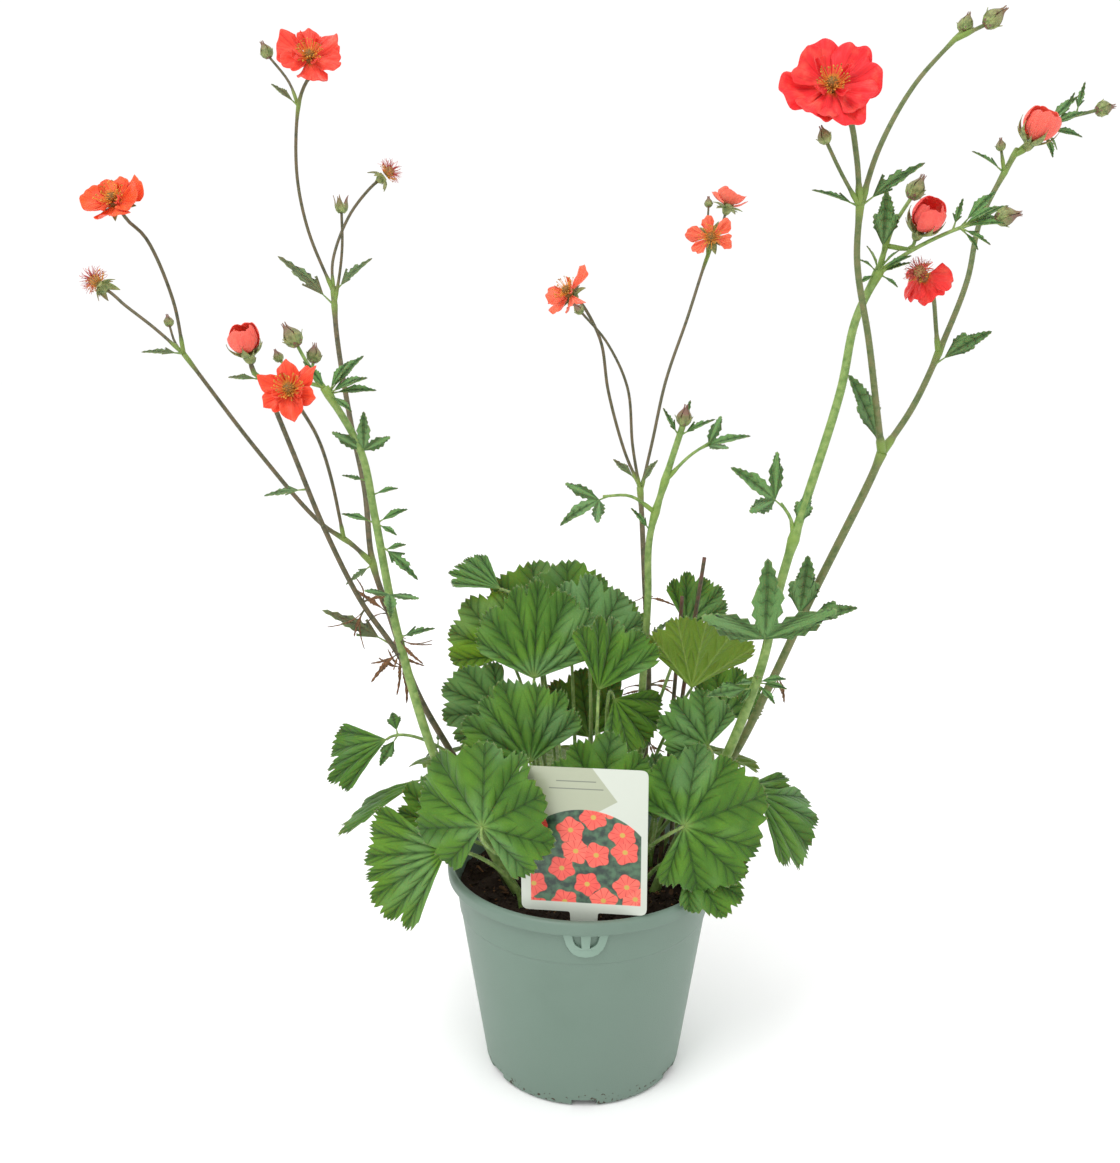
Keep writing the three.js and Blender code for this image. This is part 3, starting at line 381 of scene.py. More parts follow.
bark_finish, inputs, place = finish("peat_and_bark", 0.95, Specular_IOR_Level=0.25)
shade, warmth, _ = place.read("tone")
grain = place.noise(700, 4)
peat = grain.blend(paint(18, 14, 12), paint(58, 44, 34))
bark = grain.blend(paint(60, 40, 26), paint(150, 108, 72))
wire(inputs, Base_Color=(shade.step(0.72, 0.9) * (0.35 + 0.65 * warmth)).blend(peat, bark),
     Normal=grain.relief(0.0008))
piece("loose_compost", compost_form, [bark_finish], "compost", "compost", crease=35)


# The plant label is a stiff plastic card with a pointed stake that goes down into the compost. Its face is
# printed in cream and beige-green, with a dark panel of plain red rosettes.
card_width = 71
card_height = 89
card_thickness = 0.6
card_corner = 4
stake_length = 46
card_lean = math.radians(4)
card_turn = math.radians(-7)
card_foot = (-1, -73, pot_height + 0.8)

half = card_width / 2
card_outline = rounded([
    (-half, 0, card_corner), (-8, 0, 1.5), (-6, -40, 3), (0, -stake_length - 6, 0.6), (6, -40, 3),
    (8, 0, 1.5), (half, 0, card_corner), (half, card_height, card_corner), (-half, card_height, card_corner)])
count = len(card_outline)
here = np.arange(count)
after = np.roll(here, -1)
rims, marks = [], []
for depth, inset in ((-0.5, 0.15), (-0.3, 0), (0.3, 0), (0.5, 0.15)):
    shrunk = card_outline * (1 - inset / half)
    across, down = np.full(count, depth * card_thickness), shrunk[:, 1]
    leaned = np.stack([shrunk[:, 0], across * math.cos(card_lean) - down * math.sin(card_lean),
                       across * math.sin(card_lean) + down * math.cos(card_lean)], -1)
    rims.append(leaned)
    marks.append(np.stack([shrunk[:, 0], down, np.full(count, depth < 0)], -1))
turn = np.array([[math.cos(card_turn), -math.sin(card_turn), 0],
                 [math.sin(card_turn), math.cos(card_turn), 0], [0, 0, 1]])
card_form = Form()
card_form.add(np.concatenate(rims) @ turn.T + card_foot,
              [np.concatenate([np.stack([here, here + count, after + count, after], 1) + ring * count
                               for ring in range(3)]), [here.tolist()], [here[::-1].tolist()]],
              mark=np.concatenate(marks))
card_form.faces[-1] = [index + 3 * count for index in card_form.faces[-1]]

card_finish, inputs, place = finish("printed_card", 0.34, Coat_Weight=0.25, Coat_Roughness=0.2)
x, y, front = place.read("mark")
wedge = (y - 0.62 * x - 58).step(-0.15, 0.15) * (1 - (y + 1.4 * x - 96).step(-0.15, 0.15))
card = wedge.blend(paint(196, 202, 190), paint(164, 170, 146))
for height, width in ((81, 22), (76.5, 30)):
    rule = (1 - abs(y - height).step(0.25, 0.45)) * (1 - abs(x + 4).step(width / 2 - 0.2, width / 2 + 0.2))
    card = (rule * front).blend(card, paint(120, 126, 112))
arch = (x * x).maths("SQRT", x * x + (y - 22) * (y - 22)) - 42
panel = 1 - arch.maths("MAXIMUM", arch, arch.maths("MAXIMUM", abs(x - 1) - 31, 6 - y)).step(-0.2, 0.2)
spread = place.node("ShaderNodeCombineXYZ", {}, {0: x, 1: y})
cells = {"Vector": spread, "Scale": 0.062, "Randomness": 0.8}
middle, reach, kind = [place.node("ShaderNodeTexVoronoi", {"voronoi_dimensions": "2D"}, cells, output)
                       for output in ("Position", "Distance", "Color")]
kind = kind.parts()[0]
offset = spread.node("ShaderNodeVectorMath", {"operation": "SUBTRACT"}, {0: spread, 1: middle})
from_x, from_y, _ = offset.parts()
swing = 5 * from_y.maths("ARCTAN2", from_y, from_x) + kind * 6
swing = swing.maths("COSINE", swing)
edge = 0.42 + 0.05 * swing + 0.06 * kind
rosette = 1 - (reach - edge).step(-0.02, 0.02)
heart = 1 - reach.step(0.07, 0.11)
print_green = place.noise(220, 4).step(0.35, 0.65).blend(paint(30, 50, 42), paint(70, 104, 76))
petal_red = (kind * 0.5 + place.noise(300, 2) * 0.6).blend(paint(214, 50, 50), paint(244, 112, 92))
petal_red = abs(swing).step(0.0, 0.35).blend(paint(196, 44, 44), petal_red)
print_panel = heart.blend(rosette.blend(print_green, petal_red), paint(196, 160, 70))
card = (panel * front).blend(card, print_panel)
wire(inputs, Base_Color=card, Normal=place.noise(300, 1).relief(0.00005))
piece("printed_label", card_form, [card_finish], "label", "label", crease=40)


# The leaves rise from the crown on long stalks. Each blade is a round fan of thin, pleated, hairy leaf.
# A vein runs to each of its lobes and sends side veins to the small teeth, sunk above and raised and
# pale below. Painted shade darkens the green in the pleats' valleys and the hollows between the side
# veins, and in part along the sunk veins above.
buried_length = 5
leaf_thickness = 0.45
stalk_radius = 1.5
lobe_teeth = (0, 0.55, 1, 0, 0.55, 1, 0.2, 1, 0.2, 1, 0.55, 0, 1, 0.55, 0)
tooth_depth = 0.06
lobe_cut = 0.08
leaf_rows = 28
vein_depth = 0.3
pleat = 0.1
quilt_height = 0.22
side_veins = 6
side_slant = 1.15
on_stalk, on_down, on_sepal = 1, 2, 3

leaves = dict(
    centre_tall=dict(foot=[-14, 2], hub=[-30, -10, 252], tip=[-27, 9, 308], face=[-0.1, -1, 0.3],
        spread=68, taper=66, teeth=11),
    centre_low=dict(foot=[-17, -14], hub=[-32, -34, 208], tip=[-46, -24, 254], face=[0.1, -1, 0.3],
        spread=74, taper=100, teeth=11),
    front_left=dict(foot=[-26, -32], hub=[-58, -70, 184], tip=[-61, -64, 233], face=[-0.5, -1, 0.15],
        spread=148, taper=170, teeth=15, bend=0.04, fold=0),
    rim_left=dict(foot=[-38, -38], hub=[-81, -46, 158], tip=[-132, -42, 139], face=[0.15, -0.9, 0.6],
        spread=52, taper=110, teeth=11),
    rim_left_back=dict(foot=[-34, -10], hub=[-80, -15, 158], tip=[-108, -15, 184], face=[0.1, -1, 0.1],
        spread=60, teeth=7),
    left_drooping=dict(foot=[-46, 18], hub=[-102, 15, 178], tip=[-157, 8, 152], face=[0.1, 0.1, 1],
        spread=36, teeth=9, leaflets=[[0.8, 15]]),
    left_pinnate=dict(foot=[-36, 15], hub=[-124, 17, 204], tip=[-165, 20, 186], face=[0.2, -0.7, 1],
        spread=42, teeth=9, leaflets=[[0.9, 21], [0.66, 10]]),
    left_upper=dict(foot=[-26, 18], hub=[-52, 32, 298], tip=[-80, 42, 314], face=[0.4, -0.6, 0.5],
        spread=38, teeth=7),
    left_bright=dict(foot=[-25, 9], hub=[-47, 20, 258], tip=[-73, 30, 292], face=[0, -1, 0.3],
        spread=75, teeth=9),
    back_left_tall=dict(foot=[-14, 26], hub=[-28, 52, 262], tip=[-34, 68, 310], face=[0, -1, 0.4],
        spread=70, teeth=9),
    back_middle_tall=dict(foot=[-4, 19], hub=[-8, 30, 266], tip=[-11, 48, 313], face=[0, -1, 0.4],
        spread=75, teeth=9),
    middle_grey=dict(foot=[4, 8], hub=[3, 12, 262], tip=[6, 26, 308], face=[0.2, -1, 0.4],
        spread=70, teeth=9),
    back_right_tall=dict(foot=[8, 27], hub=[12, 56, 246], tip=[30, 70, 284], face=[0, -1, 0.5],
        spread=70, teeth=9),
    middle_upright=dict(foot=[6, -8], hub=[8, -26, 250], tip=[20, -14, 290], face=[0.3, -1, 0.2],
        spread=48, taper=110, teeth=7, fold=0.6),
    middle_folded=dict(foot=[15, 0], hub=[18, -8, 239], tip=[40, -18, 214], face=[0.5, -0.8, 0.6],
        spread=66, taper=110, teeth=9, fold=0.3),
    middle_low=dict(foot=[6, -24], hub=[8, -50, 188], tip=[16, -43, 228], face=[0.1, -1, 0.3],
        spread=78, taper=110, teeth=9),
    label_right=dict(foot=[32, -22], hub=[42, -36, 174], tip=[44, -28, 212], face=[0.2, -1, 0.3],
        spread=62, teeth=7),
    centre_behind=dict(foot=[-5, 9], hub=[4, 18, 205], tip=[-1, 20, 249], face=[0, -1, 0.1],
        spread=72, teeth=7, wave=0.02),
    left_dull=dict(foot=[-24, -3], hub=[-50, 0, 228], tip=[-86, 2, 243], face=[0, -1, 0.4],
        spread=70, teeth=7),
    right_underside=dict(foot=[25, -6], hub=[65, -6, 245], tip=[72, -20, 296], face=[0, 1, 0.4],
        spread=54, teeth=9, fold=0.2),
    right_top=dict(foot=[27, 16], hub=[64, 24, 276], tip=[78, 34, 306], face=[0.1, -1, 0.4],
        spread=52, teeth=7),
    right_dark=dict(foot=[33, -12], hub=[74, -19, 213], tip=[54, -14, 242], face=[0.3, -1, 0.3],
        spread=80, teeth=9, fold=0.25),
    right_inner=dict(foot=[44, 16], hub=[88, 20, 218], tip=[100, 30, 248], face=[0, -1, 0.4],
        spread=75, teeth=7),
    front_right=dict(foot=[24, -30], hub=[56, -60, 180], tip=[105, -50, 193], face=[0.3, -1, 0.4],
        spread=140, taper=120, teeth=15, bend=0.1, fold=-0.1),
    rim_right=dict(foot=[34, -30], hub=[60, -50, 153], tip=[92, -62, 138], face=[0, -0.9, 0.8],
        spread=75, teeth=9),
    right_drooping=dict(foot=[48, -6], hub=[108, -4, 176], tip=[147, -4, 141], face=[0.6, -0.6, 0.6],
        spread=50, teeth=9),
    right_behind=dict(foot=[50, 18], hub=[104, 22, 170], tip=[143, 28, 158], face=[0, -0.5, 1],
        spread=38, teeth=9, leaflets=[[0.85, 14]]),
    back_left=dict(foot=[-36, 26], hub=[-66, 50, 190], tip=[-110, 72, 172], face=[-0.3, 0.3, 1],
        teeth=9),
    back_middle=dict(foot=[-12, 38], hub=[-16, 70, 180], tip=[-22, 114, 152], face=[0, 0.6, 1],
        teeth=9),
    back_right=dict(foot=[44, 32], hub=[74, 58, 187], tip=[112, 88, 165], face=[0.3, 0.3, 1], teeth=9),
)

# How far each leaf is from the plain green: towards a bright yellow green above 0, a dull grey green below.
# These shades are partly each leaf's own tone and partly painted light: how brightly each leaf is lit is
# painted into its green, and left_bright, which stands in shade, is given the brightest.
leaf_shades = dict(
    centre_tall=-0.1, centre_low=-0.2, front_left=0.1, rim_left=0.35, left_bright=1, left_dull=-0.6,
    middle_grey=-1, middle_upright=0.1, middle_folded=0.3, middle_low=-0.1, label_right=-0.3, right_dark=-0.5,
    front_right=-0.05, right_drooping=-0.15, right_top=0.1, left_upper=-0.5, back_left_tall=0.2,
    back_middle_tall=0.1, centre_behind=0)


def unit(way):
    """A direction, or each of several, at length 1."""
    way = np.asarray(way, float)
    return way / np.linalg.norm(way, axis=-1, keepdims=True)


def frame_at(origin, along, face):
    """A place with three axes: the first points along, the third as near to the face's way as can be."""
    x = unit(along)
    z = unit(face - x * (np.asarray(face) @ x))
    return np.array(origin, float), np.array([x, np.cross(z, x), z])


def set_in(place, points):
    """Points given along a place's axes, as points of the object."""
    return place[0] + points @ place[1]


def tube(form, line, radii, sides, tone=(0, 0, 0), finish=0):
    """A closed round shoot along a line, with a radius at each of its points."""
    ways = unit(np.gradient(line, axis=0))
    across = unit(np.cross(ways[0], (0.31, 0.17, 1) if abs(ways[0][2]) < 0.9 else (1, 0.2, 0)))
    turn = np.linspace(0, 2 * np.pi, sides, endpoint=False)[:, None]
    rings = []
    for centre, way, radius in zip(line, ways, radii):
        across = unit(across - way * (across @ way))
        rings.append(centre + radius * (np.cos(turn) * across + np.sin(turn) * np.cross(way, across)))
    points = np.concatenate([*rings, line[:1], line[-1:]])
    tones = np.broadcast_to(tone, (len(line), 3))
    tones = np.concatenate([np.repeat(tones, sides, axis=0), tones[:1], tones[-1:]])
    form.add(points, ring_faces(len(line), sides), tone=tones, finish=finish)


def fan_sheet(form, hub, grid, thickness, marks, tones, finish=0):
    """A closed thin sheet that spreads from its hub over a grid of rows outwards and columns across. The hub
    has its first row's values, and the third tone tells its upper side from its under side."""
    rows, columns = grid.shape[:2]
    normal = np.cross(np.gradient(grid, axis=0), np.gradient(grid, axis=1))
    normal = unit(normal + 1e-9)
    hub_normal = unit(normal[0].sum(axis=0))
    inner = np.broadcast_to(thickness, (rows, columns))[..., None] / 2
    points = np.concatenate([(grid + inner * normal).reshape(-1, 3), (grid - inner * normal).reshape(-1, 3),
                             [hub + inner[0, 0] * hub_normal], [hub - inner[0, 0] * hub_normal]])
    size = rows * columns
    row, column = np.meshgrid(np.arange(rows - 1), np.arange(columns - 1), indexing="ij")
    corner = (row * columns + column).ravel()
    upper = np.stack([corner, corner + columns, corner + columns + 1, corner + 1], 1)
    across = np.arange(columns - 1)
    rim = size - columns + across
    sides = [np.stack([rim, rim + size, rim + 1 + size, rim + 1], 1)]
    for first, way in ((np.arange(rows - 1) * columns, 1), (np.arange(rows - 1) * columns + columns - 1, -1)):
        sides.append(np.stack([first, first + size, first + size + columns, first + columns], 1)[:, ::way])
    hub_up, hub_down = 2 * size, 2 * size + 1
    sides.append([[hub_up, hub_down, size, 0], [columns - 1, size + columns - 1, hub_down, hub_up]])
    fans = [np.stack([np.full(columns - 1, hub_up), across, across + 1], 1),
            np.stack([np.full(columns - 1, hub_down), across + 1 + size, across + size], 1)]
    mark = np.broadcast_to(marks, grid.shape).reshape(-1, 3)
    tone = np.broadcast_to(tones, grid.shape).reshape(-1, 3)
    under = tone + (0, 0, 1)
    form.add(points, [upper, upper[:, ::-1] + size, np.concatenate(sides), *fans],
             np.concatenate([mark, mark, mark[:1], mark[:1]]),
             np.concatenate([tone, under, tone[:1], under[:1]]), finish)


def hairs(form, roots, ways, length, width):
    """Straight hairs: slim three-sided needles that stand on their roots."""
    way = unit(ways)
    across = unit(np.cross(way, (0.37, 0.61, 0.7)))
    up = np.cross(way, across)
    turns = np.array([0, 2, 4]) * np.pi / 3
    feet = [roots + width * (math.cos(turn) * across + math.sin(turn) * up) for turn in turns]
    tips = roots + way * np.reshape(length, (-1, 1))
    points = np.stack([*feet, tips], 1).reshape(-1, 3)
    needle = [[0, 2, 1], [0, 1, 3], [1, 2, 3], [2, 0, 3]]
    form.add(points, [repeated(needle, len(roots), 4)], finish=on_down)


def tube_hairs(form, line, radii, count, length, random):
    """Hairs all over a shoot, standing out from it and a little towards its tip."""
    at = random.uniform(0, len(line) - 1.001, count)
    low = at.astype(int)
    share = (at - low)[:, None]
    centre = line[low] * (1 - share) + line[low + 1] * share
    radius = np.asarray(radii)[low][:, None]
    way = unit(line[low + 1] - line[low])
    out = random.normal(size=(count, 3))
    out = unit(out - way * (out * way).sum(axis=1, keepdims=True))
    hairs(form, centre + out * radius * 0.9, out + 0.35 * way + 0.3 * random.normal(size=(count, 3)),
          length * random.uniform(0.5, 1.2, count), 0.055)


def leaf_blade(form, hub, tip, face, random, teeth, spread=80, taper=80, bend=0.12, fold=0.1, wave=0.04,
               shade=0):
    """The blade of a leaf, on its pleated middle surface, with hairs along its edge."""
    along = np.subtract(tip, hub)
    length = np.linalg.norm(along)
    place = frame_at(hub, along, face)
    phase = random.uniform(0, 6, 7)
    lobes = 2 * round(teeth / 3.6 - 0.3) + 1
    ray = np.linspace(-lobes / 2, lobes / 2, lobes * len(lobe_teeth) + 1)
    loose = 1 - (2 * ray / lobes) ** 2
    angle = spread * (2 * ray / lobes + 0.035 * loose * np.sin(2.1 * ray + phase[0]))
    within = abs(2 * (ray - np.round(ray)))
    side = 0.5 + 0.5 * np.exp(-((angle / taper) ** 2))
    cut = lobe_cut * (1 + 0.5 * np.sin(1.7 * ray + phase[2]))
    lobe = 1.02 + 0.03 * np.sin(2.9 * ray + phase[1]) - cut * within ** 2.5
    smooth = length * side * lobe
    depth = tooth_depth * (1 + 0.35 * np.sin(7.3 * ray + phase[3]))
    notch = length * side * depth * (1 - np.append(np.tile(lobe_teeth, lobes), 0))
    row = np.linspace(0, 1, leaf_rows + 1)[1:, None]
    radius = row * (smooth - notch * row ** 8)
    share = radius / smooth
    turn = np.radians(angle)[None]
    x, y = radius * np.cos(turn), radius * np.sin(turn)
    far = (radius / length) ** 2
    arc = math.radians(2 * spread / lobes) * radius
    beside = within / 2
    ribs = share * side_veins * (1 - beside / side_slant)
    z = length * (wave * far * np.sin(5 * turn) - bend * far) + fold * abs(y)
    z = z - pleat * arc * np.cos(2 * np.pi * ray) * (1 - 0.5 * share)
    z = z - vein_depth * np.exp(-((beside * arc / 0.9) ** 2)) * np.minimum(1, 4 * share)
    z = z - quilt_height * np.cos(2 * np.pi * ribs) * np.clip(beside * arc / 2, 0, 1)
    z = z + 0.024 * length * share ** 3 * np.sin(2.4 * ray + phase[4])
    z = z + 0.012 * length * share ** 5 * np.sin(8.2 * ray + phase[5])
    grid = set_in(place, np.stack([x, y, z], -1))
    marks = np.stack([np.broadcast_to(ray, x.shape), share, arc], -1)
    thickness = leaf_thickness * (1 - 0.4 * row ** 6)
    fan_sheet(form, np.array(hub, float), grid, thickness, marks, (shade, 0, 0))
    rim = grid[-1]
    out = unit(rim - grid[-3])
    roots = np.concatenate([rim - 0.2 * out, (rim[1:] + rim[:-1]) / 2 - 0.2 * out[1:]])
    ways = np.concatenate([out, out[1:]]) + 0.35 * random.normal(size=(len(roots), 3))
    hairs(form, roots, ways, random.uniform(0.5, 1.3, len(roots)), 0.05)


def stalk_curve(foot, hub, tip, face):
    """The leaf stalk's way from the compost up to its blade, as the four points of a Bezier curve."""
    ground, end = np.array([*foot, compost_height], float), np.array(hub, float)
    reach = np.linalg.norm(end - ground)
    arrival = unit(0.8 * unit(np.subtract(tip, hub)) - 0.6 * unit(face))
    return ground, ground + [0, 0, 0.4 * reach], end - arrival * 0.25 * reach, end


def bezier(points, share):
    """Points at shares of the way along a cubic Bezier curve, with the ways that it runs there."""
    a, b, c, d = points
    t = np.reshape(share, (-1, 1))
    at = (1 - t) ** 3 * a + 3 * (1 - t) ** 2 * t * b + 3 * (1 - t) * t * t * c + t ** 3 * d
    way = 3 * (1 - t) ** 2 * (b - a) + 6 * (1 - t) * t * (c - b) + 3 * t * t * (d - c)
    return at, unit(way)


# Each small leaf is cut into pointed lobes, given by the angle and reach of each tip and of each cut between.
bract_shapes = dict(
    narrow=[[-20, 0.42], [-9, 0.62], [-7, 0.56], [0, 1], [5, 0.74], [7, 0.78], [20, 0.42]],
    three=[[-30, 0.36], [-14, 0.22], [-8, 0.62], [-5, 0.54], [0, 1], [5, 0.52], [9, 0.66], [14, 0.24],
           [32, 0.42]],
    shred=[[-9, 0.35], [-4, 0.62], [-2, 0.5], [0, 1], [2, 0.5], [5, 0.6], [9, 0.3]],
    leaflet=[[-30, 0.36], [-20, 0.62], [-13, 0.58], [-9, 0.74], [0, 1], [7, 0.74], [12, 0.6], [20, 0.64],
             [30, 0.36]],
    trio=[[-76, 0.2], [-64, 0.62], [-60, 0.58], [-56, 0.86], [-51, 0.68], [-45, 0.6], [-30, 0.14],
          [-13, 0.66], [-8, 0.7], [0, 1], [6, 0.74], [13, 0.62], [30, 0.14], [45, 0.62], [50, 0.7],
          [56, 0.9], [60, 0.6], [64, 0.64], [76, 0.2]])
bract_face = (0, -0.8, 1)
bract_root = 4
bract_rows = 7
bract_steps = 6
bract_teeth = 0.035


def bract(form, random, shape, start, end, bend=0.12, face=bract_face, shade=-0.9, dry=0):
    """A small leaf on a short foot: each edge between a tip and a cut is bowed outwards. Long edges
    have teeth, cut only near the rim."""
    along = np.subtract(end, start)
    length = np.linalg.norm(along)
    place = frame_at(start, along, face)
    root = min(max(bract_root, 0.2 * length), 0.4 * length)
    corners = np.array([(share * (length - root) * math.cos(math.radians(angle)),
                         share * (length - root) * math.sin(math.radians(angle)))
                        for angle, share in bract_shapes[shape]])
    edge, teeth = [], []
    for here, after in zip(corners[:-1], corners[1:]):
        run = after - here
        out = np.array([run[1], -run[0]])
        reach = np.linalg.norm(run)
        size = bract_teeth * length / reach if reach > 0.12 * length else 0
        for step in range(bract_steps):
            share = step / bract_steps
            at = here + run * share
            edge.append(at + 0.22 * share * (1 - share) * out)
            teeth.append(size * (step % 2) * (1 - (np.linalg.norm(at) / length) ** 2) * out)
    edge, teeth = np.array([*edge, corners[-1]]), np.array([*teeth, (0, 0)])
    share = np.linspace(0, 1, bract_rows + 1)[1:, None, None]
    flat = edge * share + teeth * share ** 7
    x, y = flat[..., 0] + root, flat[..., 1]
    twist = random.uniform(-0.12, 0.12)
    z = 0.35 * abs(y) - bend * length * (x / length) ** 2 + twist * y
    grid = set_in(place, np.stack([x, y, z], -1))
    hub_height = -bend * length * (root / length) ** 2
    hub = set_in(place, np.array([root, 0, hub_height]))
    ray = np.linspace(1 - len(corners), len(corners) - 1, len(edge)) / 8
    marks = np.stack(np.broadcast_arrays(ray[None], share[..., 0], 0.45 * np.hypot(x - root, y)), -1)
    fan_sheet(form, hub, grid, 0.4, marks, (shade, dry, 0))
    share = np.linspace(-0.1, 1.25, 6)
    sag = -bend * length * (root * share / length) ** 2
    line = set_in(place, np.stack([root * share, 0 * share, sag], -1))
    tube(form, line, np.linspace(0.75, 0.35, 6), 8, tone=(0.2 + dry, 0, 0), finish=on_stalk)
    rim = grid[-1]
    hairs(form, rim, unit(rim - grid[-3]) + 0.4 * random.normal(size=rim.shape),
          random.uniform(0.4, 0.9, len(rim)), 0.045)


def nearest_on(lines, point):
    """The point on the middle of the shoots that is nearest to a point."""
    middles = np.concatenate(lines)
    return middles[np.argmin(((middles - point) ** 2).sum(axis=1))]


blade_finish, inputs, place = finish("leaf_blade", 0.55, Subsurface_Weight=0.12, Subsurface_Scale=0.002,
                                     Sheen_Weight=0.08, Sheen_Roughness=0.4, Specular_IOR_Level=0.3)
ray, share, arc = place.read("mark")
shade, dry, under = place.read("tone")
beside = abs(ray - ray.maths("ROUND", ray))
main_vein = 1 - (beside * arc).step(0.2, 0.85)
ribs = share * side_veins * (1 - beside * (1 / side_slant))
from_rib = abs(ribs.maths("FRACT", ribs + 0.5) - 0.5)
rib = (1 - from_rib.step(0.02, 0.09)) * share.step(0.08, 0.25) * (1 - 0.8 * beside.step(0.28, 0.5))
painted_valley_shade = (1 - beside.step(0.0, 0.42)) * share.step(0.0, 0.3)
hollow = (1 - from_rib.step(0.0, 0.4)) * share.step(0.1, 0.4) * (1 - beside.step(0.2, 0.5))
cells = {"Vector": place, "Scale": 620.0}
net = 1 - place.node("ShaderNodeTexVoronoi", {"feature": "DISTANCE_TO_EDGE"}, cells).step(0.0, 0.16)
cloud = place.noise(55)
haze = place.noise(30, 2)
fleck = place.noise(900, 2)
green = cloud.step(0.3, 0.7).blend(paint(62, 104, 26), paint(84, 128, 34))
green = (shade.step(0, 1) * 0.75).blend(green, paint(112, 156, 26))
green = ((0 - shade).step(0, 1) * 0.75).blend(green, paint(104, 148, 88))
# Painted sheen: pale grey-green patches stand in for the sheen on the hairy upper side.
green = (0.45 * haze.step(0.45, 0.65)).blend(green, paint(108, 146, 96))
# Painted shade: the green darkens in the pleats' valleys and in the hollows between the side veins, where
# shade falls. The fine net is the darker green of the small veins.
green = (0.42 * painted_valley_shade + 0.22 * hollow + 0.12 * net).blend(green, paint(38, 74, 14))
# The veins are darker green above: partly their own colour and partly painted shade in their sunk grooves.
green = (0.45 * main_vein + 0.24 * rib).blend(green, paint(30, 60, 14))
green = (share.step(0.14, 0.0) * 0.5).blend(green, paint(140, 166, 84))
grey_brown = haze.step(0.35, 0.65).blend(paint(96, 122, 80), paint(104, 96, 74))
green = ((0 - shade - 1).step(0, 1) * 0.8).blend(green, grey_brown)
pale = cloud.blend(paint(88, 120, 30), paint(106, 138, 44))
pale = (0.5 * main_vein + 0.25 * rib + 0.12 * net).blend(pale, paint(132, 158, 76))
skin = under.blend(green, pale)
skin = (share.step(0.965, 1.0) * 0.45).blend(skin, paint(150, 170, 116))
skin = dry.blend(skin, fleck.blend(paint(74, 46, 34), paint(150, 112, 72)))
sunk = 0 - 0.7 * main_vein - 0.5 * rib - 0.5 * hollow - 0.2 * net
height = (1 - 2 * under) * sunk * arc.step(0.0, 8.0) + 0.1 * fleck
wire(inputs, Base_Color=skin, Roughness=0.5 + 0.2 * fleck, Normal=height.relief(0.0006))

stalk_finish, inputs, place = finish("stalk_skin", 0.5, Subsurface_Weight=0.1, Subsurface_Scale=0.002)
brown, joint, ruddy = place.read("tone")
streak = place.noise(260, 4)
skin = streak.step(0.25, 0.75).blend(paint(92, 124, 54), paint(140, 168, 92))
skin = brown.blend(skin, streak.step(0.25, 0.75).blend(paint(62, 58, 40), paint(102, 95, 68)))
skin = (ruddy * streak.step(0.4, 0.7)).blend(skin, paint(98, 60, 50))
skin = joint.blend(skin, paint(120, 148, 62))
wire(inputs, Base_Color=skin, Roughness=0.42 + 0.2 * streak, Normal=streak.relief(0.0003))

down_finish, inputs, place = finish("pale_down", 0.6, Subsurface_Weight=0.3, Subsurface_Scale=0.001)
wire(inputs, Base_Color=place.noise(200).blend(paint(176, 192, 140), paint(214, 222, 188)))
plant_finishes = [blade_finish, stalk_finish, down_finish]

for number, (name, shape) in enumerate(leaves.items()):
    random = np.random.default_rng(100 + number)
    form = Form()
    foot, hub, tip, face = (shape.pop(key) for key in ("foot", "hub", "tip", "face"))
    leaflets = shape.pop("leaflets", [])
    shade = leaf_shades.get(name, 0)
    curve = stalk_curve(foot, hub, tip, face)
    line, _ = bezier(curve, np.linspace(0, 1, 30))
    line = np.concatenate([[line[0] - buried_length * unit(line[1] - line[0])], line])
    radii = np.linspace(stalk_radius, 0.85, len(line))
    tube(form, line, radii, 10, tone=(0.1, 0, 0.25 if shade < 0 else 0), finish=on_stalk)
    tube_hairs(form, line[2:], radii[2:], 260, 1.2, random)
    leaf_blade(form, hub, tip, face, random, shade=shade, **shape)
    for share, length in leaflets:
        at, way = (value[0] for value in bezier(curve, share))
        side = unit(np.cross(face, way))
        for hand in (1, -1):
            bract(form, random, "leaflet" if length > 10 else "three", at,
                  at + side * hand * length + way * 0.4 * length, shade=shade)
    piece("veined_leaf_" + name, form, plant_finishes, "leaf", "leaf_" + name)


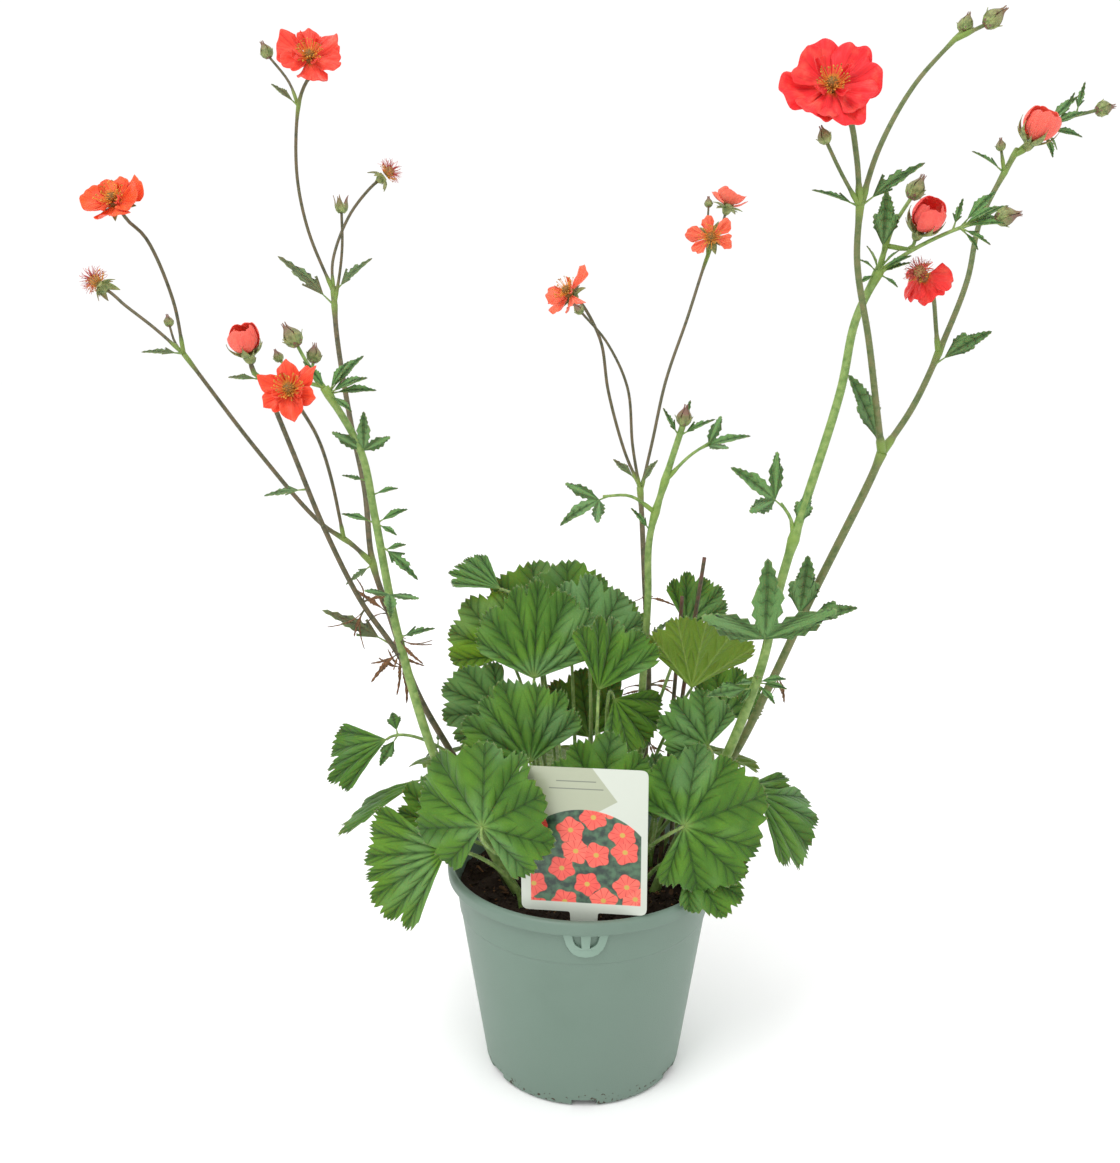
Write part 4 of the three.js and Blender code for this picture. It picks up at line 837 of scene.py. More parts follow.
# The flowers: the place of each one's green cup, the way that it faces, its petals' length, curl and number,
# and its colour: from orange at 0 to scarlet at 1, then how far it has faded to coral. Some have a form of
# their own: half of a petal's angle, and how pointed it is. Sepals are given as their reach and rise.
flowers = dict(
    left_top=dict(centre=[-158, 37, 608], axis=[0.1, -0.85, 0.5], length=22, arc=0.45, count=6,
        colour=(0.75, 0.1), petal=(0.66, 0.15)),
    left_far=dict(centre=[-243, -50, 519], axis=[-0.2, -0.7, 0.65], length=18, arc=0.5, count=6,
        colour=(0.2, 0)),
    left_front=dict(centre=[-151, -80, 425], axis=[0, -0.9, 0.45], length=19, arc=0.4, count=6,
        colour=(0.5, 0.05), petal=(0.66, 0.5)),
    left_cup=dict(centre=[-177, -60, 444], axis=[-0.1, -0.4, 0.9], length=16, arc=1.9, count=5,
        colour=(0.75, 0.25)),
    centre_left=dict(centre=[-8, 48, 478], axis=[-0.6, -0.5, 0.5], length=19, arc=0.3, count=6,
        colour=(0.35, 0.5), petal=(0.46, 0), missing=[1, 3]),
    centre_low=dict(centre=[83, 97, 515], axis=[-0.2, -0.9, 0.1], length=16, arc=0.3, count=6,
        colour=(0.35, 0.55), petal=(0.44, 0), missing=[0]),
    centre_high=dict(centre=[96, 118, 537], axis=[0.3, 0.1, 0.9], length=15, arc=1.1, count=6,
        colour=(0.3, 0.6), missing=[3]),
    right_big=dict(centre=[114, -87, 567], axis=[-0.1, -0.85, 0.4], length=25, arc=0.4, count=8,
        colour=(1, 0), petal=(0.66, 0)),
    right_cup=dict(centre=[175, -39, 507], axis=[0.2, -0.6, 0.8], length=18, arc=1.9, count=5,
        colour=(0.95, 0.1)),
    right_fading=dict(centre=[182, -29, 483], axis=[-0.6, -0.6, 0.5], length=17, arc=-0.9, count=6,
        colour=(0.9, 0), missing=[2], sepals=(6, -8)),
    right_far=dict(centre=[257, 30, 563], axis=[0.3, -0.4, 0.9], length=20, arc=1.8, count=5,
        colour=(0.85, 0.35)),
)
seed_heads = dict(
    left=dict(centre=[-273, -4, 481], axis=[-0.7, 0.2, 0.5], sepals=(8, -7)),
    top=dict(centre=[-125, 89, 552], axis=[0.7, 0.2, 0.6], sepals=(8, -7)),
)

# The flowering stems: hairy green or brown shoots that fork at swollen, paler joints, where small cut leaves
# stand. They end in buds, or in the green cups of the flowers, each with five pointed sepals. Each shoot has
# the points of its way and its radii, and may have a bud's way and size or the name of its flower.
stems = dict(
    left_front=dict(
        foot=[-40, -22],
        main=[[-62, -26, 160], [-85, -30, 202], [-106, -38, 284], [-116, -45, 354], [-122, -49, 392],
            [-139, -54, 426]],
        radii=[3.1, 1.9],
        branches=[
            [[[-138, -54, 424], [-147, -55, 438], [-153, -54, 449]], 1.3, 1.1, [[-0.5, 0, 0.8], 4.6]],
            [[[-136, -53, 421], [-146, -48, 432], [-146, -46, 440]], 1.1, 1, [[0.1, 0.2, 0.9], 3.6]],
            [[[-138, -54, 425], [-153, -48, 430], [-165, -42, 440]], 1, 0.9, [[-0.4, 0.1, 0.9], 2.4]],
        ],
        bracts=[
            ["trio", [-119, -48, 386], [-119, -54, 413], 0.05, [0, -1, 0.3]],
            ["three", [-118, -47, 374], [-132, -50, 380]],
            ["trio", [-111, -40, 311], [-105, -66, 311], 0.3, [0.2, -0.2, 1]],
            ["three", [-107, -38, 284], [-86, -46, 294]],
            ["narrow", [-115, -44, 335], [-100, -50, 342]],
            ["three", [-101, -50, 341], [-92, -55, 324]],
            ["three", [-136, -54, 424], [-121, -60, 432]],
        ],
    ),
    left_thin=dict(
        foot=[-48, -8],
        main=[[-70, -9, 165], [-92, -10, 210], [-107, -14, 262], [-130, -22, 303], [-146, -36, 347],
            [-158, -48, 389], [-170, -58, 430]],
        radii=[1.9, 1.3],
        branches=[
            [[[-168, -56, 424], [-175, -52, 432], [-178, -50, 439]], 0.9, 0.8, [[-0.2, 0.2, 0.9], 2.3]],
        ],
        stalks=[[[[-170, -58, 429]], "left_cup", 1.2]],
        bracts=[
            ["three", [-154, -43, 368], [-177, -45, 369]],
            ["three", [-115, -15, 276], [-150, -24, 300]],
            ["narrow", [-170, -58, 432], [-187, -62, 433]],
        ],
    ),
    left_rear=dict(
        foot=[-46, 8],
        main=[[-62, 5, 165], [-84, 2, 205], [-103, 6, 240], [-119, 9, 289], [-128, 10, 321],
            [-134, 28, 361], [-143, 40, 400], [-152, 52, 454], [-154, 58, 483]],
        radii=[2.2, 1.5],
        branches=[
            [[[-127, 10, 318], [-139, 6, 331], [-156, 0, 345], [-187, -10, 387], [-224, -18, 443]], 1.7, 1.3],
            [[[-152, 56, 470], [-149, 56, 493], [-146, 50, 508], [-145, 46, 526]], 1.1, 1,
                [[0, 0, 1], 3.4, True]],
            [[[-223, -18, 441], [-231, -10, 449], [-236, -3, 459]], 0.9, 0.8, [[-0.2, 0.2, 0.9], 2.4]],
        ],
        stalks=[
            [[[-153, 57, 478], [-169, 62, 517], [-174, 61, 550], [-170, 56, 587], [-164, 50, 598]],
                "left_top", 1.2],
            [[[-224, -18, 441], [-224, -30, 472], [-232, -42, 503]], "left_far", 1.1],
            [[[-143, 4, 334], [-145, -18, 374], [-146, -46, 400]], "left_front", 1.2],
            [[[-223, -18, 442], [-241, -13, 457], [-260, -8, 471]], "head_left", 1.1],
            [[[-154, 57, 480], [-155, 64, 498], [-146, 78, 527]], "head_top", 1.1],
        ],
        twigs=[[[[-170, 57, 586], [-176, 60, 601], [-188, 62, 616]], 1, 0.9, [[-0.4, 0, 0.9], 3.4]]],
        bracts=[
            ["three", [-223, -18, 442], [-246, -22, 446]],
            ["three", [-153, 56, 473], [-184, 52, 503]],
            ["three", [-153, 57, 478], [-131, 50, 501]],
            ["narrow", [-170, 56, 586], [-183, 50, 599]],
            ["three", [-127, 10, 320], [-144, 4, 308]],
        ],
    ),
    centre_green=dict(
        foot=[30, 7],
        main=[[34, 7, 180], [36, 5, 240], [38, -2, 299], [38, -7, 337], [46, -13, 372], [55, -20, 405]],
        tip=[[0.1, -0.1, 0.9], 4],
        radii=[2.7, 1.8],
        branches=[
            [[[38, -8, 352], [26, -16, 363], [10, -24, 364]], 1.3, 0.9],
            [[[46, -13, 372], [59, -17, 386], [70, -20, 394]], 1.3, 0.9],
        ],
        bracts=[
            ["trio", [14, -22, 365], [-14, -36, 356], 0.3, [-0.3, -0.8, 0.8]],
            ["trio", [64, -18, 389], [90, -24, 402], 0.2, [0.2, -0.6, 1]],
            ["three", [38, -7, 342], [28, -12, 356]],
            ["three", [52, -19, 397], [41, -26, 413], -0.1],
            ["three", [53, -20, 399], [70, -28, 409]],
            ["three", [53, -19, 399], [60, -8, 416], -0.1],
        ],
    ),
    centre_brown=dict(
        foot=[38, 24],
        main=[[40, 28, 180], [42, 31, 239], [39, 40, 302], [37, 48, 346], [36, 50, 360]],
        radii=[2, 1.6],
        branches=[
            [[[36, 50, 358], [31, 50, 386], [27, 44, 422], [14, 39, 449], [-2, 31, 467]], 1.2, 0.9,
                [[-0.6, -0.2, 0.6], 2.6]],
        ],
        stalks=[
            [[[36, 50, 359], [27, 56, 380], [16, 62, 419], [11, 63, 450]], "centre_left", 1.2],
            [[[36, 50, 358], [44, 60, 387], [53, 72, 425], [68, 90, 465], [79, 102, 497]], "centre_low", 1.2],
            [[[80, 103, 502], [86, 110, 518]], "centre_high", 1],
        ],
        twigs=[[[[81, 104, 505], [82, 111, 524], [83, 116, 537]], 0.9, 0.8, [[0, 0.2, 0.9], 2.4]]],
        bracts=[
            ["narrow", [33, 51, 364], [20, 58, 378]],
            ["narrow", [37, 50, 362], [44, 40, 378]],
            ["three", [41, 32, 252], [31, 22, 274]],
            ["three", [41, 34, 264], [53, 26, 280]],
        ],
    ),
    right_front=dict(
        foot=[44, -17],
        main=[[60, -19, 158], [81, -22, 199], [102, -31, 266], [109, -34, 309], [117, -36, 344],
            [138, -37, 423], [145, -34, 461], [158, -31, 489]],
        radii=[3.2, 2.2],
        branches=[
            [[[156, -31, 486], [163, -29, 508], [174, -26, 526]], 1.5, 1.2, [[0.4, 0, 0.8], 4.6]],
            [[[157, -31, 487], [172, -38, 497], [195, -46, 508], [212, -50, 512]], 1.4, 1.1,
                [[0.9, -0.2, 0.2], 4.4]],
            [[[117, -36, 341], [114, -37, 353], [108, -38, 362]], 1.3, 1],
        ],
        stalks=[[[[161, -30, 499]], "right_cup", 1.2]],
        bracts=[
            ["trio", [109, -38, 360], [82, -46, 384], 0.15, [0.2, -0.9, 0.6]],
            ["leaflet", [117, -36, 345], [123, -40, 370], 0.1],
            ["trio", [103, -33, 270], [100, -52, 332], 0.05, [0, -1, 0.3]],
            ["leaflet", [100, -29, 250], [72, -42, 255], 0.2],
            ["three", [156, -31, 486], [170, -40, 492]],
            ["leaflet", [159, -31, 492], [157, -38, 527], 0.05],
            ["three", [192, -45, 506], [193, -50, 522], -0.1],
            ["three", [194, -46, 507], [207, -56, 500]],
        ],
    ),
    right_rear=dict(
        foot=[52, 6],
        main=[[70, 8, 160], [94, 8, 197], [115, 4, 246], [136, -3, 302], [163, -15, 372], [168, -18, 388]],
        radii=[2.8, 2.3],
        branches=[
            [[[168, -18, 386], [159, -33, 416], [149, -48, 450], [138, -58, 490], [137, -62, 520]], 1.9, 1.6],
            [[[137, -62, 518], [147, -54, 545], [167, -40, 578], [195, -27, 608]], 1.5, 1.1,
                [[0.3, 0.2, 0.9], 3.6]],
            [[[137, -62, 517], [124, -71, 532], [115, -77, 545]], 1, 0.9, [[-0.4, -0.2, 0.8], 3]],
            [[[168, -18, 386], [187, -9, 414], [207, 4, 453], [221, 15, 485], [229, 24, 518], [251, 34, 559]],
                1.9, 1.4],
            [[[250, 34, 557], [273, 40, 574], [302, 47, 583]], 1.2, 1, [[0.9, 0.1, 0.2], 4]],
            [[[243, 31, 546], [239, 27, 558]], 0.9, 0.8, [[-0.2, -0.2, 0.9], 2.4]],
            [[[190, -29, 602], [206, -30, 610]], 1.1, 1, [[0.7, -0.2, 0.6], 4.4]],
        ],
        stalks=[
            [[[137, -62, 517], [132, -69, 540], [124, -79, 557]], "right_big", 1.4],
            [[[202, 1, 445], [198, -5, 458], [192, -17, 472]], "right_fading", 1.2],
            [[[250, 34, 557]], "right_far", 1.2],
        ],
        bracts=[
            ["leaflet", [167, -18, 388], [148, -28, 432], 0.1],
            ["three", [137, -62, 518], [113, -67, 526]],
            ["three", [137, -62, 518], [165, -68, 539]],
            ["leaflet", [199, -1, 438], [226, -10, 458], 0.15],
            ["three", [243, 31, 546], [223, 22, 558]],
            ["three", [289, 44, 580], [290, 42, 597], -0.1],
            ["three", [278, 41, 576], [283, 36, 590], -0.1],
            ["leaflet", [129, -1, 283], [130, -14, 327], 0.05],
            ["leaflet", [130, -1, 286], [159, -12, 299], 0.15],
        ],
    ),
)
green_stems = ("left_front", "centre_green", "right_front")
half_open = 1.5
line_spacing = 4
swelling_reach = 5
joint_swelling = 0.35
calyx_height = 6
sepal_count = 5
sepal_rows = 9


def even_line(points, spacing=line_spacing):
    """Points at even steps along the smooth centripetal curve through the given ones."""
    points = np.array(points, float)
    ends = np.concatenate([[2 * points[0] - points[1]], points, [2 * points[-1] - points[-2]]])
    samples = []
    for a, b, c, d in zip(ends[:-3], ends[1:-2], ends[2:-1], ends[3:]):
        before, within, beyond = (math.sqrt(np.linalg.norm(q - p)) for p, q in ((a, b), (b, c), (c, d)))
        leave = ((b - a) / before - (c - a) / (before + within) + (c - b) / within) * within
        arrive = ((c - b) / within - (d - b) / (within + beyond) + (d - c) / beyond) * within
        for t in np.arange(12) / 12:
            samples.append(b + leave * t + (3 * (c - b) - 2 * leave - arrive) * t ** 2
                           + (2 * (b - c) + leave + arrive) * t ** 3)
    samples = np.array([*samples, points[-1]])
    walked = np.append(0, np.cumsum(np.linalg.norm(np.diff(samples, axis=0), axis=1)))
    at = np.linspace(0, walked[-1], max(4, math.ceil(walked[-1] / spacing) + 1))
    return np.stack([np.interp(at, walked, samples[:, axis]) for axis in range(3)], -1)


def flower_frame(centre, axis):
    """A flower's place: its third axis is the way that it faces."""
    z = unit(axis)
    return frame_at(centre, np.cross((1, 0, 0.2), z), z)


def sepal(form, place, turn, path, widths, tone):
    """A pointed blade in a flower's frame: its path gives radius and height from root to tip."""
    path, widths = np.array(path, float), np.array(widths)
    side = np.linspace(-1, 1, 7)[None]
    share = np.linspace(0, 1, sepal_rows + 1)[1:]
    at = np.linspace(0, 1, len(path))
    out, up, half = (np.interp(share, at, values)[:, None] for values in (path[:, 0], path[:, 1], widths))
    y = side * half
    x = np.sqrt(np.maximum(out ** 2 - 0.5 * y ** 2, 0.01))
    z = up + 0.12 * abs(y)
    turned_x, turned_y = x * math.cos(turn) - y * math.sin(turn), x * math.sin(turn) + y * math.cos(turn)
    grid = set_in(place, np.stack([turned_x, turned_y, z], -1))
    hub = set_in(place, np.array([path[0, 0] * math.cos(turn), path[0, 0] * math.sin(turn), path[0, 1]]))
    fan_sheet(form, hub, grid, 0.35, (0, 0, 0), share[:, None, None] * tone, on_sepal)


def bud(form, random, end, direction, radius, spent=False):
    """A closed bud: a pointed oval in five sepals, with five slim bracts round its foot. On a spent flower
    the sepals stand up round a pale middle."""
    way = unit(direction)
    place = frame_at(end + 0.6 * radius * way, np.cross((1, 0, 0.3), way), way)
    profile = np.array([(0, -1.1), (0.45, -1.02), (0.8, -0.68), (0.96, -0.2), (0.96, 0.2), (0.8, 0.62),
                        (0.5, 0.98), (0.2, 1.2), (0, 1.3)]) * radius
    points, faces = turned(profile, 20)
    turn = np.arctan2(points[:, 1], points[:, 0])
    points[:, :2] *= 1 + 0.05 * np.cos(5 * turn)[:, None]
    form.add(set_in(place, points * (1, 1, 0.7 if spent else 1)), faces, tone=(0.9, 0.8, 0),
             finish=on_down if spent else on_sepal)
    closed = [(0.5, -0.98), (0.9, -0.5), (1.04, 0.05), (0.9, 0.55), (0.52, 1.05), (0.24, 1.45), (0.12, 2)]
    standing = [(0.5, -0.98), (0.9, -0.5), (1.08, 0), (1.1, 0.5), (1.1, 1), (1.2, 1.5), (1.35, 2)]
    for i in range(sepal_count):
        turn = 2 * np.pi * i / sepal_count
        path = np.array(standing if spent else closed)
        path[-1, 0] += random.uniform(0, 0.3)
        widths = np.array([0.35, 0.55, 0.58, 0.5, 0.3, 0.12, 0.03]) * radius
        tone = (random.uniform(0.7, 1.6), random.uniform(0.2, 0.9), 0)
        sepal(form, place, turn, path * radius, widths, tone)
        turn += np.pi / sepal_count
        flare = random.uniform(1.15, 1.5)
        sepal(form, place, turn, np.array([(0.5, -1), (0.98, -0.5), (1.12, -0.05), (flare, 0.35)]) * radius,
              np.array([0.12, 0.16, 0.12, 0.02]) * radius, (0.25, 0.1, 0))
    line = set_in(place, np.array([(0, 0, height * radius) for height in (-0.8, -0.3, 0.2, 0.7)]))
    tube_hairs(form, line, np.array([0.8, 1.05, 1, 0.7]) * radius * 1.05, 90, 0.9, random)


def calyx(form, random, centre, axis, sepals=(11, -1.5), length=0, arc=0, **_):
    """The green cup under a flower. Its sepals lie open, hug a half-open cup of petals or bend right back."""
    place = flower_frame(centre, axis)
    cup = np.array([(0, -calyx_height - 0.2), (1.3, -calyx_height), (2.3, -4.9), (3, -3.2), (3.2, -1.8),
                    (2.9, -0.8), (0, -0.5)])
    points, faces = turned(cup, 20)
    form.add(set_in(place, points), faces, tone=(0.25, 0, 0), finish=on_sepal)
    reach, rise = sepals
    for i in range(sepal_count):
        for turn, share, width in ((0, 1, 2.3), (np.pi / sepal_count, 0.62, 0.8)):
            turn += 2 * np.pi * i / sepal_count + random.uniform(-0.06, 0.06)
            share *= random.uniform(0.92, 1.06)
            if arc > half_open:
                sweep = np.linspace(0.3, 0.62 * share + 0.25, 6) * arc
                out, up = length / arc * np.sin(sweep) + 0.9, length / arc * (1 - np.cos(sweep)) - 1.4
                path = np.concatenate([[(2.2, -2.6)], np.stack([out, up], -1)])
            else:
                way = np.linspace(0, 1, 6) * share
                arch = 0.9 * np.sin(np.pi * way) * random.uniform(0.3, 1.4)
                path = np.stack([2.4 + (reach - 2.4) * way, -2 + (rise + 2) * way ** 1.3 + arch], -1)
            widths = width * np.array([0.8, 1, 0.95, 0.75, 0.45, 0.03, 0.02][:len(path)])
            widths[-1] = 0.06
            sepal(form, place, turn, path, widths, (random.uniform(0.1, 0.7), 0.15, 0))
    line = set_in(place, np.array([(0, 0, height) for height in (-5.6, -4, -2.4, -1)]))
    tube_hairs(form, line, np.array([1.8, 2.8, 3.2, 3]), 70, 0.9, random)


sepal_finish, inputs, place = finish("sepal_skin", 0.6, Subsurface_Weight=0.1, Subsurface_Scale=0.002)
brown, ruddy, _ = place.read("tone")
streak = place.noise(420, 3)
skin = streak.step(0.3, 0.7).blend(paint(92, 112, 60), paint(150, 162, 98))
skin = (brown * streak.step(0.2, 0.6)).step(0, 1).blend(skin, paint(118, 88, 76))
skin = (ruddy * (1 - streak.step(0.3, 0.6))).blend(skin, paint(124, 62, 56))
wire(inputs, Base_Color=skin, Roughness=0.5 + 0.2 * streak, Normal=streak.relief(0.0005))
plant_finishes.append(sepal_finish)

# What the stems carry beside this: withered bits low down, dead shoots that were cut, and frills at a joint.
withered = dict(
    left_front=[[(-104, -37, 276), (-122, -44, 262)], [(-106, -38, 284), (-92, -50, 270)]],
    left_thin=[[(-130, -22, 303), (-117, -30, 316)], [(-112, -18, 270), (-96, -30, 256)],
               [(-128, -21, 300), (-140, -30, 284)], [(-107, -14, 262), (-124, -22, 268)]],
    left_rear=[[(-119, 9, 289), (-136, 0, 300)], [(-116, 9, 282), (-108, 0, 264)]],
    centre_brown=[[(42, 31, 226), (54, 24, 214)], [(41, 30, 214), (30, 20, 204)],
                  [(41, 30, 200), (52, 22, 190)], [(40, 36, 292), (50, 30, 300)],
                  [(41, 31, 236), (56, 26, 244)], [(41, 31, 232), (32, 24, 244)],
                  [(40, 37, 296), (33, 30, 282)]],
    right_rear=[[(118, 4, 252), (128, -6, 238)]])
dead_shoots = dict(centre_brown=[[(56, 8, 120), (59, 10, 210), (73, 12, 322)],
                                 [(50, 14, 120), (55, 18, 200), (61, 20, 296)]])
frills = dict(
    left_front=[
        [(-138, -54, 424), (-128, -60, 440), (-121, -56, 444), (-146, -60, 440)],
        [(-136, -53, 421), (-118, -62, 434), (-113, -56, 428), (-124, -62, 416)],
        [(-116, -46, 366), (-104, -52, 374)],
        [(-115, -45, 353), (-132, -50, 360), (-100, -48, 362)],
        [(-115, -45, 351), (-104, -54, 349)]],
    right_front=[
        [(101, -30, 254), (88, -44, 262), (98, -46, 268), (112, -42, 264), (116, -36, 256), (90, -34, 246),
         (108, -44, 250)],
        [(156, -31, 485), (146, -40, 494), (150, -44, 500), (160, -44, 498), (168, -42, 496),
         (145, -38, 482), (166, -38, 480)],
        [(193, -45, 507), (214, -52, 521), (210, -46, 528), (206, -56, 519), (211, -58, 512),
         (203, -52, 498), (216, -42, 517)]],
    right_rear=[
        [(267, 38, 568), (286, 30, 582), (282, 34, 590), (280, 42, 562), (290, 36, 570), (272, 30, 556)]])

for number, (name, shape) in enumerate(stems.items()):
    random = np.random.default_rng(200 + number)
    form = Form()
    brown = 0.05 if name in green_stems else (0.6 if name == "right_rear" else 0.95)
    ground = np.array([*shape["foot"], compost_height], float)
    way = unit(np.array(shape["main"][0]) - ground)
    shoots = [(even_line([ground - buried_length * way, ground, *shape["main"]]), *shape["radii"])]
    roots, buds, cups = [], [], []
    if "tip" in shape:
        buds.append((shoots[0][0][-1], *shape["tip"]))
    grown = [shape.get(kind, []) for kind in ("branches", "stalks", "twigs")]
    for (start, *points), *ends in sum(grown, []):
        root = nearest_on([line for line, *_ in shoots], start)
        if isinstance(ends[0], str):
            flower, radius = ends
            head = seed_heads[flower[5:]] if flower.startswith("head_") else flowers[flower]
            back = [np.array(head["centre"]) + reach * unit(head["axis"]) for reach in (-11, -5)]
            points += back[np.linalg.norm(back[0] - root) < 6:]
            ends = [radius, radius]
            cups.append(head)
        if len(ends) > 2:
            buds.append((np.array(points[-1], float), *ends[2]))
        roots.append(root)
        shoots.append((even_line([root, *points]), *ends[:2]))
    joints = np.array(roots)
    main_line = shoots[0][0]
    ruddy = 0.35 if brown > 0.5 else 0.1
    for line, thick, thin in shoots:
        distances = np.linalg.norm(line[:, None] - joints[None], axis=2)
        nearness = np.exp(-((distances / swelling_reach) ** 2)).max(axis=1)
        if line is not main_line:
            nearness[:3] = 1
        slim = 1 if line is main_line or name == "right_rear" else 0.84
        radii = slim * np.linspace(thick, thin, len(line)) * (1 + joint_swelling * nearness)
        tones = np.stack([np.full(len(line), brown), 0.75 * nearness, np.full(len(line), ruddy)], -1)
        sides, hairs_each, hair_length = (14, 9, 1.4) if thick > 1.5 else (10, 4, 0.9)
        tube(form, line, radii, sides, tone=tones, finish=on_stalk)
        tube_hairs(form, line, radii, len(line) * hairs_each, hair_length, random)
    for tip in buds:
        bud(form, random, *tip)
    for head in cups:
        calyx(form, random, **head)
    lines = [line for line, *_ in shoots]
    for kind, start, end, *rest in shape["bracts"]:
        bract(form, random, kind, nearest_on(lines, start), np.array(end, float), *rest,
              shade=-1.8 if brown > 0.7 else -1.2)
    for start, *ends in frills.get(name, []):
        for end in ends:
            bract(form, random, "narrow", nearest_on(lines, start), np.array(end, float), 0.2)
    for start, end in withered.get(name, []):
        root = nearest_on(lines, start)
        for bend in (0.6, -0.5, 0.8):
            way = (np.array(end) - root) * random.uniform(0.5, 1) + random.uniform(-5, 5, 3)
            bract(form, random, "shred", root, root + way, bend, face=random.normal(size=3), dry=1)
    for points in dead_shoots.get(name, []):
        line = even_line(points)
        tube(form, line, np.linspace(1.5, 1.2, len(line)), 10, tone=(1, 0, 1), finish=on_stalk)
    slot = "green_stem" if name in green_stems else "brown_stem"
    piece("hairy_stem_" + name, form, plant_finishes, slot, "stem_" + name)


# The petals: thin, crumpled, broad blades in overlapping whorls, with a notched edge, on a small disc
# that the cup holds. The open flowers have a few small petals folded over the stamens.
petal_rays = ([-1, -0.75, -0.35, 0.1, 0.5, 0.8, 1], [0.7, 0.92, 1, 0.96, 1, 0.9, 0.68])
whorl_starts = (0.5, 1.5, 2.5)
whorl_curls = (0.85, 1.2, 1.5)
cup_curls = (1.22, 1.3, 1.4)
whorl_droops = (1.25, 0.9, 0.7)
disc_radius = 3.4
disc_height = 3
small_petals = 4
petal_rows = 15
petal_columns = 27
petal_thickness = 0.28


def curled(radius, turn, length, arc, start, wave):
    """Points of a petal on its arc: it leaves the axis level and curls up by the arc's angle."""
    sweep = arc * radius / length
    ripple = wave * length * (radius / length) ** 2 * np.cos(3 * turn + 1)
    out, up = length / arc * np.sin(sweep), length / arc * (1 - np.cos(sweep)) + ripple
    return np.stack([out * np.cos(turn), out * np.sin(turn), start + up], -1)


def petal(form, place, random, middle, half, reach, arc, start, wave, colour, crumple=1, point=0):
    """One petal, narrowing to its foot, with its own notch and crumples. A point draws out its tip."""
    side = np.linspace(-1, 1, petal_columns)
    share = np.linspace(0, 1, petal_rows + 1)[1:, None]
    phase = random.uniform(0, 2 * np.pi, 6)
    edge = np.interp(side, *petal_rays)
    edge = np.convolve(np.pad(edge, 3, "edge"), np.ones(7) / 7, "valid")
    edge = edge + point * (0.95 - 0.75 * abs(side) ** 0.8 - edge)
    edge = edge + crumple * (0.045 * np.sin(3.5 * side + phase[0]) + 0.012 * np.sin(11 * side + phase[1]))
    notch, depth = random.uniform(-0.5, 0.5), crumple * random.uniform(0, 0.09)
    edge = edge - depth * np.exp(-(((side - notch) / 0.16) ** 2))
    radius = share * edge * reach
    far = 1.2 + radius * (1 - 1.2 / reach)
    turn = middle + side * half * (0.66 + 0.34 * np.sqrt(share))
    points = curled(far, turn, reach, arc, start, wave)
    folds = (0.08 * np.sin(3 * side + 3 * share + phase[2]) + 0.03 * np.sin(8 * side - 4 * share + phase[3])
             + 0.01 * np.sin(17 * side + 6 * share + phase[4]))
    lift = crumple * reach * share * (folds + random.uniform(-0.05, 0.09) * side ** 2)
    points[..., 2] += lift
    points[..., :2] *= 1 - 0.25 * np.clip(arc - 1, 0, 1) * lift[..., None] / reach * 4
    hub = curled(np.array(0.6), np.array(middle), reach, arc, start, 0)
    marks = np.stack(np.broadcast_arrays(side * 6 + phase[0], share, phase[5] + 0 * side), -1)
    fan_sheet(form, set_in(place, hub), set_in(place, points), petal_thickness, marks, (*colour, 0))


# The stamens: slim filaments with golden anthers round a dome of green-brown styles.
def ellipsoid(form, centre, way, length, width, tone, finish):
    """A small oval body along a way."""
    profile = np.array([(0, -0.5), (0.4, -0.3), (0.5, 0), (0.4, 0.3), (0, 0.5)]) * (width, length)
    points, faces = turned(profile, 6)
    place = frame_at(centre, np.cross(way, (0.3, 0.5, 0.8)), way)
    form.add(set_in(place, points), faces, tone=tone, finish=finish)


def stamens(form, place, random, count, base, length, lean, finish=0):
    """A ring of stamens that lean out from the axis by their own angles."""
    for i in range(count):
        turn = 2 * np.pi * (i + random.uniform(-0.4, 0.4)) / count
        tilt, reach = random.uniform(*lean), length * random.uniform(0.65, 1.05)
        foot = random.uniform(1.4, 2.8)
        share = np.linspace(0, 1, 5)
        out = foot + reach * share * math.sin(tilt) * (1.15 - 0.15 * share)
        up = base + reach * share * math.cos(tilt) + 0.12 * reach * share ** 2
        line = set_in(place, np.stack([out * math.cos(turn), out * math.sin(turn), up], -1))
        tube(form, line, np.linspace(0.2, 0.11, 5), 5, tone=(0, random.uniform(0, 1), 0), finish=finish)
        way = unit(random.normal(size=3) + 1.5 * unit(line[-1] - line[-2]))
        ellipsoid(form, line[-1], way, 1.15, 0.75, (1, random.uniform(0, 1), 0), finish)


def styles(form, place, random, centre, radius, count, length, thickness, hook, low, tone):
    """Styles that stand out all round a small dome, each with a bent tip."""
    for i in range(count):
        height = 1 - (1 - low) * (i + 0.5) / count
        turn = i * 2.4
        flat = math.sqrt(1 - height * height)
        out = np.array([flat * math.cos(turn), flat * math.sin(turn), height])
        way = unit(out + 0.12 * random.normal(size=3))
        aside = unit(np.cross(way, random.normal(size=3)))
        share = np.linspace(0, 1, 5)[:, None]
        reach = length * random.uniform(0.75, 1.08)
        line = centre + way * (0.85 * radius + reach * share) + aside * hook * reach * share ** 3
        tube(form, set_in(place, line), np.linspace(thickness, 0.4 * thickness, 5), 5,
             tone=(tone, random.uniform(0, 1), 0))


